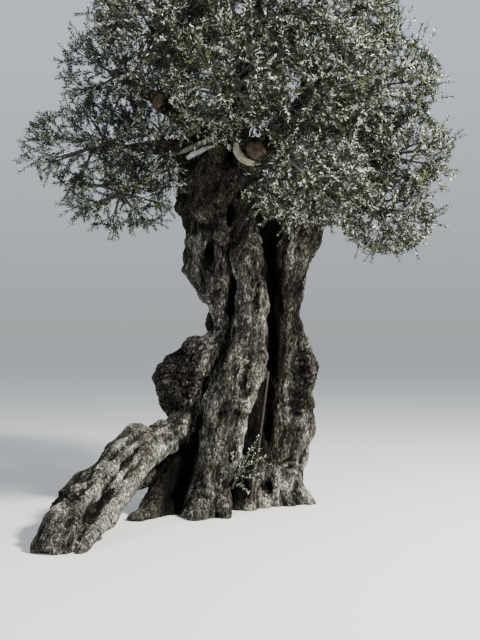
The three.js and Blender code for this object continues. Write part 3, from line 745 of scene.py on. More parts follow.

# %% Painted shade, dark rot and bleached places
# Lines of painted shade in the cleft, the hollows and on the shaded left sides, with dark rot in the hollows:
# points, radius and how much darker they are.
PAINTED_SHADE_AND_DARK_ROT = [
    ([(-0.06, -0.10, 0.0), (0.03, -0.10, 0.4), (0.17, -0.06, 0.8), (0.26, -0.02, 1.3)], 0.23, 0.95),
    ([(0.26, -0.02, 1.3), (0.27, 0.0, 2.3), (0.28, 0.0, 2.75)], 0.23, 0.95),
    ([(-0.70, -0.42, 0.12), (-0.52, -0.38, 0.42), (-0.42, -0.34, 0.62)], 0.22, 0.90),
    ([(-0.13, 0.25, 0.0), (-0.10, 0.22, 1.2), (-0.08, 0.15, 2.0)], 0.30, 0.95),
    ([(-0.36, -0.14, 2.60), (-0.32, -0.16, 2.10), (-0.20, -0.12, 1.75), (-0.30, -0.20, 1.3)], 0.36, 0.18),
    ([(-0.36, -0.22, 1.25), (-0.46, -0.30, 0.85), (-0.62, -0.45, 0.72)], 0.26, 0.18),
    ([(-1.16, -0.85, 0.50), (-1.32, -1.20, 0.34), (-1.46, -1.62, 0.14)], 0.26, 0.42),
]
BLEACHED = [([row[:3] for row in STEMS["inner_leg"][1:6]], 0.11)]
print("dark places", len(PAINTED_SHADE_AND_DARK_ROT), "bleached", len(BLEACHED))


# %% How far points stand out
def averaged(values, links, counts, times):
    for _ in range(times):
        total = np.bincount(links[:, 0], values[links[:, 1]], len(values))
        total += np.bincount(links[:, 1], values[links[:, 0]], len(values))
        values = (values + total / counts) / 2
    return values


def standing_out(piece, times):
    """How far points stand out of the same skin, averaged so many times."""
    links = np.empty(len(piece.data.edges) * 2, int)
    piece.data.edges.foreach_get("vertices", links)
    links = links.reshape(-1, 2)
    places = corners(piece)
    counts = np.maximum(np.bincount(links.ravel(), minlength=len(places)), 1)
    around = np.stack([averaged(column, links, counts, times) for column in places.T], 1)
    return ((places - around) * normals_of(piece)).sum(1)


# %% Painted shade and light from the relief
# How often the skin is averaged to tell fine and broad relief, and how much each then counts.
# Places sunk in the skin get painted shade and raised places painted light.
RELIEF_SEEN = [(6, 42), (80, 11)]

places = corners(bark)
raised = np.full(len(places), 0.5)
for times, strength in RELIEF_SEEN:
    raised += strength * standing_out(bark, times)
# Painted shade, and dark rot in the hollows, lower the relief channel.
dark = np.max([share * along_path(places, path, radius) for path, radius, share in PAINTED_SHADE_AND_DARK_ROT], axis=0)
bleached = np.max([along_path(places, path, radius) for path, radius in BLEACHED], axis=0)
raised = np.clip(raised, 0, 1) * (1 - dark)
channels = np.stack([raised, weight_on_burls(places), bleached, np.ones(len(places))], 1)
painted_shade_burl_bare = bark.data.color_attributes.new("painted_shade_burl_bare", "FLOAT_COLOR", "POINT")
painted_shade_burl_bare.data.foreach_set("color", channels.ravel())
print("raised", round(float(raised.mean()), 2), "dark points", int((dark > 0.5).sum()))

# %% [markdown]
# ## The bark in five pieces
#
# The skin is one mesh, so the bark runs on from the trunk into the leg and the boughs with no seam. It is
# now shared out: each face goes to the solid that lies nearest, and the openings this leaves are closed
# where nobody sees them. The trunk's share is so large that level cuts divide it in three.

# %% How the bark is shared out
def note_owners(piece):
    middles = np.empty(len(piece.data.polygons) * 3)
    piece.data.polygons.foreach_get("center", middles)
    owners = []
    for middle in middles.reshape(-1, 3):
        gaps = [shape.find_nearest(middle)[3] for shape in shapes.values()]
        owners.append(gaps.index(min(gaps)))
    attribute = piece.data.attributes.new("owner", "INT", "FACE")
    attribute.data.foreach_set("value", owners)


def split_off(piece, owner, name):
    owners = np.empty(len(piece.data.polygons), int)
    piece.data.attributes["owner"].data.foreach_get("value", owners)
    edited(piece)
    bpy.ops.mesh.select_mode(type="FACE")
    bpy.ops.mesh.select_all(action="DESELECT")
    done_editing()
    piece.data.polygons.foreach_set("select", owners == owner)
    edited(piece)
    before = set(bpy.data.objects)
    bpy.ops.mesh.separate(type="SELECTED")
    done_editing()
    return named((set(bpy.data.objects) - before).pop(), name)


def part_above(piece, height, name):
    pick(piece)
    bpy.ops.object.duplicate()
    upper = named(bpy.context.object, name)
    cut = {"plane_co": (0, 0, height), "plane_no": UP, "use_fill": True}
    on_all_of(upper, bpy.ops.mesh.bisect, clear_inner=True, **cut)
    on_all_of(piece, bpy.ops.mesh.bisect, clear_outer=True, **cut)
    return upper


# %% Sharing out the bark
TRUNK_CUTS = {"upper_trunk_bark": 1.95, "middle_trunk_bark": 0.84}
SMOOTH_BELOW = math.radians(60)

note_owners(bark)
order = list(shapes)
bark_pieces = {name: split_off(bark, order.index(name), name) for name in ("leg_bark", "bough_bark")}
for piece in (*bark_pieces.values(), bark):
    on_all_of(piece, bpy.ops.mesh.fill_holes, sides=0)
for name, height in TRUNK_CUTS.items():
    bark_pieces[name] = part_above(bark, height, name)
bark.name = "lower_trunk_bark"
bark_pieces["lower_trunk_bark"] = bark
for piece in bark_pieces.values():
    piece.data.attributes.remove(piece.data.attributes["owner"])
    pick(piece)
    bpy.ops.object.shade_smooth_by_angle(angle=SMOOTH_BELOW)
print({name: len(piece.data.polygons) for name, piece in bark_pieces.items()})

# %% [markdown]
# ## The bark's finish
#
# Old olive bark is a cool light grey on its plates and nearly black in the cracks. Lichen and rain have left
# pale and dark patches all over it, and the same patches paint dappled sunlight. Under the crown the bark is
# painted a dark warm brown, which is the wood's warmer tone and painted shade. The colour follows the
# patches, each plate and the painted shade and light noted above. A bump adds the grain that is too fine to
# model.


# %% Node helpers
def new_material(name, roughness):
    material = bpy.data.materials.new(name)
    material.use_nodes = True
    shader = material.node_tree.nodes["Principled BSDF"]
    shader.inputs["Roughness"].default_value = roughness
    return material, material.node_tree, shader


def plug(tree, value, socket):
    """Link another node's output to a socket, or set the socket to a plain value."""
    if isinstance(value, bpy.types.NodeSocket):
        tree.links.new(value, socket)
    else:
        socket.default_value = value


def add_node(tree, kind, **settings):
    node = tree.nodes.new(kind)
    for key, value in settings.items():
        if key in node.inputs:
            plug(tree, value, node.inputs[key])
        else:
            setattr(node, key, value)
    return node


def own_place(tree):
    return tree.nodes.new("ShaderNodeTexCoord").outputs["Object"]


def stretched(tree, scale):
    return add_node(tree, "ShaderNodeMapping", Vector=own_place(tree), Scale=scale).outputs["Vector"]


def noise(tree, where, scale, detail, roughness=0.5):
    return add_node(tree, "ShaderNodeTexNoise", Vector=where, Scale=scale, Detail=detail, Roughness=roughness)


# %% Node helpers for colours and numbers
def ramp(tree, value, stops):
    node = add_node(tree, "ShaderNodeValToRGB", Fac=value)
    elements = node.color_ramp.elements
    while len(elements) < len(stops):
        elements.new(0.5)
    for element, (place, colour) in zip(elements, stops):
        element.position = place
        element.color = (*colour, 1)
    return node.outputs["Color"]


def mix(tree, kind, share, first, second):
    """Two colours in one. The node's colours are its inputs 6 and 7 and its output 2."""
    node = add_node(tree, "ShaderNodeMix", data_type="RGBA", blend_type=kind, Factor=share)
    plug(tree, first, node.inputs[6])
    plug(tree, second, node.inputs[7])
    return node.outputs[2]


def arithmetic(tree, operation, *values, kind="ShaderNodeMath", result="Value"):
    node = add_node(tree, kind, operation=operation)
    for value, socket in zip(values, node.inputs):
        plug(tree, value, socket)
    return node.outputs[result]


def bumped(tree, shader, height, strength, distance):
    bump = add_node(tree, "ShaderNodeBump", Height=height, Strength=strength, Distance=distance)
    tree.links.new(bump.outputs["Normal"], shader.inputs["Normal"])


# %% The pattern of the bark
GRAIN_STRETCH = (1, 1, 0.45)
# How far the grain wanders, in metres, and how many plates lie along a metre across it.
WANDER = 0.045
PLATES = 52.0


def bark_pattern(tree):
    grain = stretched(tree, GRAIN_STRETCH)
    wander = noise(tree, grain, 16.0, 3.0).outputs["Color"]
    bent = (wander, (WANDER, WANDER, WANDER), grain)
    where = arithmetic(tree, "MULTIPLY_ADD", *bent, kind="ShaderNodeVectorMath", result="Vector")
    gap = add_node(tree, "ShaderNodeTexVoronoi", feature="DISTANCE_TO_EDGE", Vector=where, Scale=PLATES)
    plate = add_node(tree, "ShaderNodeTexVoronoi", feature="F1", Vector=where, Scale=PLATES)
    return {
        "gap": gap.outputs["Distance"],
        "plate": add_node(tree, "ShaderNodeSeparateColor", Color=plate.outputs["Color"]).outputs["Red"],
        # The patches and the broad noise are lichen and also painted dappled sunlight.
        "patches": noise(tree, where, 5.0, 3.0).outputs["Fac"],
        "fine": noise(tree, where, 62.0, 4.0, 0.7).outputs["Fac"],
        "broad": noise(tree, where, 2.3, 2.0).outputs["Fac"],
    }


# %% The colour of the bark
PALETTE = [
    (0.26, (0.014, 0.012, 0.010)), (0.43, (0.038, 0.035, 0.029)), (0.59, (0.086, 0.080, 0.069)),
    (0.82, (0.250, 0.238, 0.212)),
]
CRACKS = [(0.0, (0.12, 0.105, 0.09)), (0.16, (1, 1, 1))]
SPECKLE = [(0.40, (0.13, 0.12, 0.11)), (0.62, (1.7, 1.7, 1.7))]
# Painted shade in sunk places, nearly black in the deepest, and painted light on raised places.
SUNK_SHADE = [
    (0.05, (0.02, 0.018, 0.016)), (0.30, (0.20, 0.18, 0.16)), (0.52, (0.95, 0.95, 0.95)),
    (0.80, (1.30, 1.30, 1.30)),
]
# A dark warm brown: the wood's warmer tone, and painted shade under the crown.
WARM_BROWN_PAINTED_SHADE = (0.020, 0.016, 0.009, 1)
BURL_SHADE = (0.27, 0.25, 0.23, 1)
BARE_WOOD = (0.400, 0.390, 0.330, 1)
# How much each plate's own tone, the relief and the broad patches add to the patches, and the middle. Through
# the relief, raised places are painted lighter and sunk ones darker, and the patches also paint dappled
# sunlight.
TONE_SHARES = {"plate": 0.26, "raised": 0.30, "broad": 0.55}
TONE_MIDDLE = 0.545
# Heights between which the bark turns a dark warm brown, painted shade under the crown, and how far it goes.
PAINTED_CROWN_SHADE = {"From Min": 1.95, "From Max": 2.9, "To Max": 0.85}


def bark_colour(tree, pattern):
    # The patches paint lichen and dappled sunlight, the relief painted light and shade.
    tone = pattern["patches"]
    for name, share in TONE_SHARES.items():
        tone = arithmetic(tree, "MULTIPLY_ADD", pattern[name], share, tone)
    colour = ramp(tree, arithmetic(tree, "SUBTRACT", tone, TONE_MIDDLE), PALETTE)
    # Painted shade under the crown, in a warm brown.
    height = add_node(tree, "ShaderNodeSeparateXYZ", Vector=own_place(tree)).outputs["Z"]
    crown_shade = add_node(tree, "ShaderNodeMapRange", Value=height, **PAINTED_CROWN_SHADE).outputs["Result"]
    colour = mix(tree, "MIX", crown_shade, colour, WARM_BROWN_PAINTED_SHADE)
    colour = mix(tree, "MIX", pattern["burl"], colour, mix(tree, "MULTIPLY", 1.0, colour, BURL_SHADE))
    colour = mix(tree, "MIX", arithmetic(tree, "MULTIPLY", pattern["bare"], 0.5), colour, BARE_WOOD)
    # The cracks are the bark's dark joints and the speckle its grain; the relief adds painted shade and
    # light.
    for name, share, stops in (("gap", 0.85, CRACKS), ("fine", 1.0, SPECKLE), ("raised", 1.0, SUNK_SHADE)):
        colour = mix(tree, "MULTIPLY", share, colour, ramp(tree, pattern[name], stops))
    return colour


# %% Bark material
def make_bark():
    material, tree, shader = new_material("olive_bark", 0.95)
    shader.inputs["Specular IOR Level"].default_value = 0.1
    pattern = bark_pattern(tree)
    # Its channels: the relief with painted shade and light, the burls, and the bare wood.
    noted = add_node(tree, "ShaderNodeAttribute", attribute_name="painted_shade_burl_bare").outputs["Color"]
    channels = add_node(tree, "ShaderNodeSeparateColor", Color=noted)
    for name, channel in zip(("raised", "burl", "bare"), ("Red", "Green", "Blue")):
        pattern[name] = channels.outputs[channel]
    plug(tree, bark_colour(tree, pattern), shader.inputs["Base Color"])
    flat_topped = arithmetic(tree, "MINIMUM", pattern["gap"], 0.2)
    relief = arithmetic(tree, "MULTIPLY_ADD", pattern["fine"], 0.3, flat_topped)
    bumped(tree, shader, relief, strength=0.7, distance=0.018)
    return material


bark_finish = make_bark()
STANDS_FOR = {
    "lower_trunk_bark": ["trunk"],
    "middle_trunk_bark": ["trunk"],
    "upper_trunk_bark": ["trunk"],
    "leg_bark": ["root_leg"],
    "bough_bark": LIMB_NODES["bough_bark"] + FOLIAGE_NODES,
}
for name, piece in bark_pieces.items():
    piece.data.materials.clear()
    piece.data.materials.append(bark_finish)
    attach(piece, "root")
    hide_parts(*STANDS_FOR[name])
print("bark is on", sorted(bark_pieces))

# %% [markdown]
# ## The rule of growth
#
# The same rule makes every order of wood. A parent bears its children one after the other, each turned a
# golden angle round the parent from the last, so that no two shade each other. The stem of a mass bears
# twigs that each make for their own share of the mass's skin. Twigs bear branchlets, branchlets bear leafy
# shoots, and each order is shorter and thinner. What would leave its space, or stand in front of the sawn
# limb and the trunk's head, is shortened or left out, as pruning leaves them open.

# %% Where the crown may grow
TREE_TOP = 5.42
OUTER_BOX = ((-2.15, -2.05, 2.2), (2.24, 1.90, 5.45))
# Places that stay in view, and places where wood stands, each with a radius.
CLEARINGS = [((-0.17, -0.30, 2.93), 0.34), ((0.14, -0.43, 3.26), 0.17), ((-0.765, -0.162, 3.765), 0.10)]
HEADS = [((-0.17, 0.02, 2.95), 0.42), ((0.55, 0.17, 2.78), 0.33), ((0.05, -0.25, 3.15), 0.20)]
# Crown room beyond which it is too dark for leaves, and below which a tip would stand alone in the air.
DARKEST = 5.5
AIRIEST = 0.32
# Depth in a neighbour's space, from its middle out, that counts as buried.
BURIED = 0.60


def in_clearing(points):
    hidden = np.zeros(len(points), bool)
    for target, radius in CLEARINGS:
        way = np.array(EYE) - target
        along = np.clip((points - target) @ way / (way @ way), 0, 1)
        hidden |= np.linalg.norm(points - target - along[:, None] * way, axis=1) < radius
    for middle, radius in HEADS:
        hidden |= np.linalg.norm(points - middle, axis=1) < radius
    return hidden


def crown_room(points):
    """1 on the crown's skin, where neighbouring masses melt together, and more inside it."""
    room = np.zeros(len(points))
    for middle, half, _ in MASSES.values():
        room += np.exp(-2.5 * (depth_in(points, middle, half) ** 2 - 1))
    return room


def buried(points, own):
    """Points that lie deep in a neighbour's space, where no light reaches a leaf."""
    deep = np.zeros(len(points), bool)
    for name, (middle, half, _) in MASSES.items():
        if name != own:
            deep |= depth_in(points, middle, half) < BURIED
    return deep


# %% Children on their parents
GOLDEN_ANGLE = math.pi * (3 - math.sqrt(5))
# The direction from which turns round a twig are counted.
TWIG_ASIDE = (0.31, 0.57, 0.76)


def on_lines(lines, which, shares):
    """Places at shares of the chosen lines, and the lines' directions there."""
    last = lines.shape[1] - 1
    step = np.minimum((shares * last).astype(int), last - 1)
    part = (shares * last - step)[..., None]
    start, end = lines[which, step], lines[which, step + 1]
    return start * (1 - part) + end * part, unit(end - start)


def children(parents, count, first, spread, rng):
    """Starts and directions of count children on each parent, from the share first of it on."""
    shares = first + (1 - first) * (np.arange(count) + rng.uniform(0.2, 0.8, (len(parents), count))) / count
    starts, ways = on_lines(parents, np.arange(len(parents))[:, None], shares)
    turns = GOLDEN_ANGLE * np.arange(count) + rng.uniform(0, 2 * math.pi, (len(parents), 1))
    angle = spread * rng.uniform(0.75, 1.25, shares.shape)[..., None]
    heading = ways * np.cos(angle) + square_to(ways, turns, TWIG_ASIDE) * np.sin(angle)
    return starts.reshape(-1, 3), heading.reshape(-1, 3)


def on_ball(count):
    """Points that are spread evenly over a ball of radius 1."""
    height = 1 - 2 * (np.arange(count) + 0.5) / count
    turn = np.arange(count) * GOLDEN_ANGLE
    level = np.sqrt(1 - height**2)
    return np.stack([level * np.cos(turn), level * np.sin(turn), height], 1)


# %% Curved lines that fit their space
# How far out of the middle a tip may stand, as a share of the space's half size, also for a sprig.
REACH = 0.94
SPRIG_REACH = 1.35
# How much a line that stands out is shortened at a time, and how often.
SHORTER = 0.84
TRIES = 9


def curved(starts, ways, lengths, lifts, points):
    """Lines of points from each start, that leave along ways and bend up by lifts."""
    shares = np.linspace(0, 1, points)
    lines = starts[:, None] + ways[:, None] * (lengths[:, None] * shares)[..., None]
    lines[..., 2] += (lengths * lifts)[:, None] * shares**2
    return lines


def fitted(starts, ways, lengths, lifts, points, space, sprigs=False):
    """Curved lines, shortened until their tips are in their space. Sprigs may stand out of it a little."""
    furthest = np.where(sprigs, SPRIG_REACH, REACH)
    for _ in range(TRIES):
        tips = curved(starts, ways, lengths, lifts, 2)[:, 1]
        outside = (depth_in(tips, *space) > furthest) | (crown_room(tips) < AIRIEST)
        outside |= (tips < OUTER_BOX[0]).any(1) | (tips > OUTER_BOX[1]).any(1) | (tips[:, 2] > TREE_TOP)
        lengths = np.where(outside, lengths * SHORTER, lengths)
    lines = curved(starts, ways, lengths, lifts, points)
    return lines[~outside & ~in_clearing(lines[:, -1]) & ~in_clearing(lines[:, points // 2])]


# %% Leafy shoots
# The share of shoots that are long sprigs, and the lengths of sprigs and of other shoots.
SPRIGS = {"dense": 0.09, "open": 0.16}
SPRIG_LENGTH = (0.24, 0.42)
SHOOT_LENGTH = (0.09, 0.24)
# How much shoots bend up, and how much those low on a mass hang down.
RISE = (0.0, 0.4)
HANG = (-0.45, 0.1)


def shoots_from(starts, ways, name, rng):
    middle, half, habit = MASSES[name]
    outward = unit((starts - middle) / half)
    toward_light = np.array([0, 0, 0.35]) * (0.35 + outward[:, 2:])
    ways = unit(ways + 0.5 * outward + toward_light)
    count = len(starts)
    sprigs = rng.uniform(0, 1, count) < SPRIGS[habit]
    lengths = np.where(sprigs, rng.uniform(*SPRIG_LENGTH, count), rng.uniform(*SHOOT_LENGTH, count))
    lifts = np.where(outward[:, 2] > -0.2, rng.uniform(*RISE, count), rng.uniform(*HANG, count))
    shoots = fitted(starts, ways, lengths, lifts, 4, (middle, half), sprigs)
    return shoots[~buried(shoots[:, -1], name) & (crown_room(shoots[:, -1]) < DARKEST)]


# %% Shoots that fill gaps
# A gap is a point of the skin with fewer than so many shoot points near it, and the nearest wood may be so
# far away.
GAP_RADIUS = 0.10
FEWEST_NEAR = 4
LONGEST_FILL = 0.38


def tree_of(points):
    tree = KDTree(len(points))
    for i, point in enumerate(points):
        tree.insert(point, i)
    tree.balance()
    return tree


def gap_shoots(name, branchlets, shoots, samples, rng):
    """New shoots from the nearest branchlet towards each point of the mass's skin that has too few."""
    middle, half, _ = MASSES[name]
    goals = middle + on_ball(samples) * np.array(half) * rng.uniform(0.80, 0.97, (samples, 1))
    goals = goals[~in_clearing(goals) & (goals[:, 2] < TREE_TOP)]
    for other, (other_middle, other_half, _) in MASSES.items():
        if other != name:
            goals = goals[depth_in(goals, other_middle, other_half) > 0.8]
    leafy = tree_of(shoots[:, 1:].reshape(-1, 3))
    woody = tree_of(branchlets.reshape(-1, 3))
    starts = []
    ends = []
    for goal in goals:
        start, _, away = woody.find(goal)
        if len(leafy.find_range(goal, GAP_RADIUS)) < FEWEST_NEAR and away < LONGEST_FILL:
            starts.append(start)
            ends.append(goal)
    if not starts:
        return shoots[:0]
    way = np.array(ends) - np.array(starts)
    bend = rng.uniform(-0.25, 0.25, (len(way), 3)) * np.linalg.norm(way, axis=1)[:, None]
    shares = np.linspace(0, 1, 4)[None, :, None]
    return np.array(starts)[:, None] + way[:, None] * shares * 1.15 + bend[:, None] * shares * (1 - shares)


# %% From stem to twigs to leafy shoots
# Twigs on a mass's stem, branchlets on a twig, shoots on a branchlet, raggedness, and points looked at for
# gaps.
HABITS = {"dense": (18, 6, 5, 0.10, 650), "open": (15, 5, 5, 0.22, 210)}
BRANCHLET_LENGTH = (0.18, 0.40)


def grow_mass(name, path_end, rng):
    middle, half, habit = MASSES[name]
    middle, half = np.array(middle), np.array(half)
    twig_count, branchlet_count, shoot_count, ragged, samples = HABITS[habit]
    foot = edge_toward(middle, half, path_end)
    goals = middle + on_ball(twig_count) * half * (0.92 - ragged * rng.uniform(0, 1, twig_count))[:, None]
    starts = foot + (middle - foot) * rng.uniform(0.45, 1.0, (twig_count, 1))
    reach = np.linalg.norm(goals - starts, axis=1)
    lifts = rng.uniform(-0.1, 0.12, twig_count)
    twigs = fitted(starts, unit(goals - starts), reach, lifts, 7, (middle, half))

    starts, ways = children(twigs, branchlet_count, 0.34, 0.80, rng)
    ways = unit(ways + 0.45 * unit((starts - middle) / half))
    lengths = rng.uniform(*BRANCHLET_LENGTH, len(starts))
    branchlets = fitted(starts, ways, lengths, rng.uniform(0, 0.35, len(starts)), 5, (middle, half))

    starts, ways = children(branchlets, shoot_count, 0.15, 0.72, rng)
    starts = np.concatenate([starts, branchlets[:, -1]])
    ways = np.concatenate([ways, unit(branchlets[:, -1] - branchlets[:, -2])])
    shoots = shoots_from(starts, ways, name, rng)
    shoots = shoots[depth_in(shoots[:, -1], middle, half) > 0.5]
    shoots = np.concatenate([shoots, gap_shoots(name, branchlets, shoots, samples, rng)])
    return twigs, branchlets, shoots


growth = {}
for i, (name, _, _, path) in enumerate(BOUGHS.values()):
    growth[name] = grow_mass(name, path[-1], np.random.default_rng(401 + i))
print("shoots", sum(len(g[2]) for g in growth.values()), {name: len(g[2]) for name, g in growth.items()})

# %% [markdown]
# ## Sprays round the head
#
# A few sprays come forward round the sawn limb and over the trunk's head, where the light reaches them. They
# could come out of the rule by luck alone, so each one's branchlet is listed, and the rule gives it its
# shoots.

# %% Sprays round the head
FRINGE = [
    [(-0.12, -0.55, 3.56), (-0.14, -0.64, 3.42), (-0.15, -0.66, 3.28)],
    [(-0.02, -0.55, 3.58), (-0.04, -0.64, 3.46), (-0.06, -0.66, 3.34)],
    [(-0.30, -0.45, 3.62), (-0.36, -0.52, 3.52), (-0.42, -0.54, 3.42)],
    [(-0.22, -0.50, 3.62), (-0.24, -0.60, 3.52), (-0.28, -0.62, 3.44)],
    [(-0.62, -0.20, 3.32), (-0.66, -0.30, 3.24), (-0.66, -0.36, 3.10)],
    [(-0.68, -0.22, 3.34), (-0.78, -0.34, 3.34), (-0.84, -0.42, 3.24)],
    [(-0.66, -0.16, 3.38), (-0.72, -0.30, 3.46), (-0.70, -0.40, 3.54)],
    [(-0.46, -0.06, 3.58), (-0.54, -0.22, 3.56), (-0.60, -0.34, 3.50)],
    [(-0.38, -0.10, 3.58), (-0.42, -0.30, 3.58), (-0.52, -0.42, 3.60)],
    [(-0.64, -0.14, 3.24), (-0.64, -0.26, 3.06), (-0.60, -0.32, 2.92)],
    [(-0.60, -0.10, 3.26), (-0.56, -0.20, 3.10), (-0.53, -0.25, 2.98)],
    [(-0.18, -0.46, 3.52), (-0.21, -0.54, 3.42), (-0.25, -0.56, 3.31)],
    [(-0.50, -0.30, 3.52), (-0.53, -0.40, 3.45), (-0.50, -0.44, 3.38)],
    [(0.30, -0.50, 3.25), (0.23, -0.60, 3.14), (0.17, -0.62, 3.02)],
    [(0.30, -0.55, 3.10), (0.20, -0.60, 2.98), (0.11, -0.60, 2.84)],
    [(0.34, -0.52, 2.95), (0.24, -0.58, 2.82), (0.16, -0.58, 2.68)],
    [(0.26, -0.52, 3.55), (0.27, -0.62, 3.44), (0.25, -0.66, 3.36)],
    [(0.38, -0.50, 3.34), (0.36, -0.60, 3.24), (0.34, -0.62, 3.14)],
]
FRINGE_SHOOTS = 10

rng = np.random.default_rng(55)
fringe = np.stack([even_points(path, 5) for path in FRINGE])
starts, ways = children(fringe, FRINGE_SHOOTS, 0.2, 0.8, rng)
lengths = rng.uniform(0.08, 0.17, len(starts))
fringe_shoots = curved(starts, ways, lengths, rng.uniform(-0.3, 0.2, len(starts)), 4)
no_twigs = np.zeros((0, 7, 3))
growth["fringe"] = (no_twigs, fringe, fringe_shoots)
print("fringe shoots", len(fringe_shoots))

# %% [markdown]
# ## Shoots at the foot, and hanging twigs
#
# An old olive keeps sprouting from its foot. A short stem leans out of the centre stem's knee and bears a
# small bush of young shoots. A few bare twigs hang down from the crown in front of the stems.

# %% Basal shoots and hanging twigs
BASAL_STEM = [(-0.072, -0.452, 0.236), (-0.04, -0.47, 0.31), (0.0, -0.482, 0.37), (0.04, -0.49, 0.44)]
BASAL_MIDDLE = np.array((0.09, -0.52, 0.47))
BASAL_HALF = np.array((0.225, 0.14, 0.27))
BASAL_SHOOTS = 16
HANGING = [
    [(0.52, -0.35, 3.64), (0.5, -0.5, 3.39), (0.36, -0.49, 3.14), (0.2, -0.45, 2.89), (-0.03, -0.35, 2.5)],
    [(0.56, -0.45, 2.90), (0.53, -0.45, 2.69), (0.45, -0.46, 2.56), (0.38, -0.45, 2.46), (0.34, -0.45, 2.40)],
    [(-0.6, -0.3, 3.2), (-0.66, -0.36, 3.02), (-0.7, -0.4, 2.86), (-0.71, -0.42, 2.7), (-0.7, -0.43, 2.58)],
]
HANGING_LEAFY = HANGING[1:]

rng = np.random.default_rng(77)
basal_stem = even_points(BASAL_STEM, 5)[None]
basal_goals = BASAL_MIDDLE + on_ball(BASAL_SHOOTS) * BASAL_HALF * rng.uniform(0.7, 1.0, (BASAL_SHOOTS, 1))
basal_starts = basal_stem[0][rng.integers(1, 5, BASAL_SHOOTS)]
basal_bend = rng.uniform(-0.03, 0.03, (BASAL_SHOOTS, 1, 3))
shares = np.linspace(0, 1, 4)[None, :, None]
basal_shoots = basal_starts[:, None] + (basal_goals - basal_starts)[:, None] * shares
basal_shoots = basal_shoots + basal_bend * shares * (1 - shares)
hanging = np.stack([even_points(path, 9) for path in HANGING])
print("basal shoots", len(basal_shoots), "hanging twigs", len(hanging))

# %% [markdown]
# ## Twigs
#
# There are thousands of twigs, so they aren't modelled one by one. Each line gets a closed tapering tube, and
# all tubes of one order are made at once as rows of numbers and joined in one mesh. The thicker twigs have
# five sides. From a few steps away, three sides on a shoot as thin as a straw can't be told from a round one.


# %% Tubes along lines
def tubes(lines, thick, thin, sides):
    """Corners and faces of closed tubes along lines, which taper from the radius thick to the radius thin."""
    count, points, _ = lines.shape
    ways = unit(np.gradient(lines, axis=1))
    angles = np.arange(sides) * 2 * math.pi / sides
    around = square_to(ways[:, :, None], angles, TWIG_ASIDE)
    places = lines[:, :, None] + around * np.linspace(thick, thin, points)[:, None, None]
    ring = np.arange(sides)
    following = np.roll(ring, -1)
    row = np.arange(points - 1)[:, None] * sides
    quads = np.stack([row + ring, row + following, row + sides + following, row + sides + ring], -1)
    shift = (np.arange(count) * points * sides)[:, None, None]
    quads = (quads.reshape(1, -1, 4) + shift).reshape(-1, 4)
    caps = np.concatenate([shift[:, 0] + ring[::-1], shift[:, 0] + (points - 1) * sides + ring])
    return places.reshape(-1, 3), [*quads.tolist(), *caps.tolist()]


coarse = []
fine = []
for twigs, branchlets, shoots in growth.values():
    coarse.append(tubes(twigs, 0.016, 0.0045, 5))
    coarse.append(tubes(branchlets, 0.0050, 0.0022, 3))
    fine.append(tubes(shoots, 0.0022, 0.0010, 3))
coarse.append(tubes(basal_stem, 0.011, 0.005, 6))
coarse.append(tubes(hanging, 0.0042, 0.0016, 4))
fine.append(tubes(basal_shoots, 0.0030, 0.0012, 3))
twig_pieces = [mesh_piece("crown_twigs", coarse)]
for k in range(2):
    twig_pieces.append(mesh_piece(f"leafy_shoots_{k + 1}", fine[k::2]))
print("twig faces", [len(piece.data.polygons) for piece in twig_pieces])

# %% [markdown]
# ## One leaf
#
# An olive leaf is a narrow blade, four times as long as wide, that is widest near its middle and curls back
# at the tip. It starts as a grid of one by three faces. Its ends are pinched to points, its waist is widened
# and its tip bent down. That makes four triangles, few enough for more than two hundred thousand leaves.

# %% Leaf
WIDTH_ALONG = (0.0, 0.88, 0.84, 0.0)
SAG_ALONG = (0.0, 0.035, 0.03, -0.05)

bpy.ops.mesh.primitive_grid_add(x_subdivisions=1, y_subdivisions=3, size=1, location=(0, 0.5, 0))
leaf = bpy.context.object
apply_place(leaf)
for corner in leaf.data.vertices:
    row = round(corner.co.y * 3)
    corner.co.x *= WIDTH_ALONG[row]
    corner.co.z = SAG_ALONG[row]
on_all_of(leaf, bpy.ops.mesh.remove_doubles, threshold=1e-4)
leaf_shape, leaf_faces = taken_apart(leaf)
print("leaf corners", len(leaf_shape), "faces", leaf_faces)

# %% [markdown]
# ## Leaves on the shoots
#
# Olive leaves stand in pairs, and each pair is turned a quarter from the last. Seen from anywhere, about a
# third of them show their silvery underside. So the leaves are dealt out in plain colours by spray: some
# sprays are mostly dark, some mostly pale, and a few young ones yellow-green. Sprays deep in the crown get
# more dark leaves, as painted shade, and the pale leaves are painted glints.

# %% Placing the leaves
LEAF_SPACING = 0.0128
LEAF_LENGTH = (0.028, 0.044)
LEAF_WIDTH = (0.0093, 0.0125)
# Angles between a leaf and its shoot.
LEAN = (0.5, 1.15)


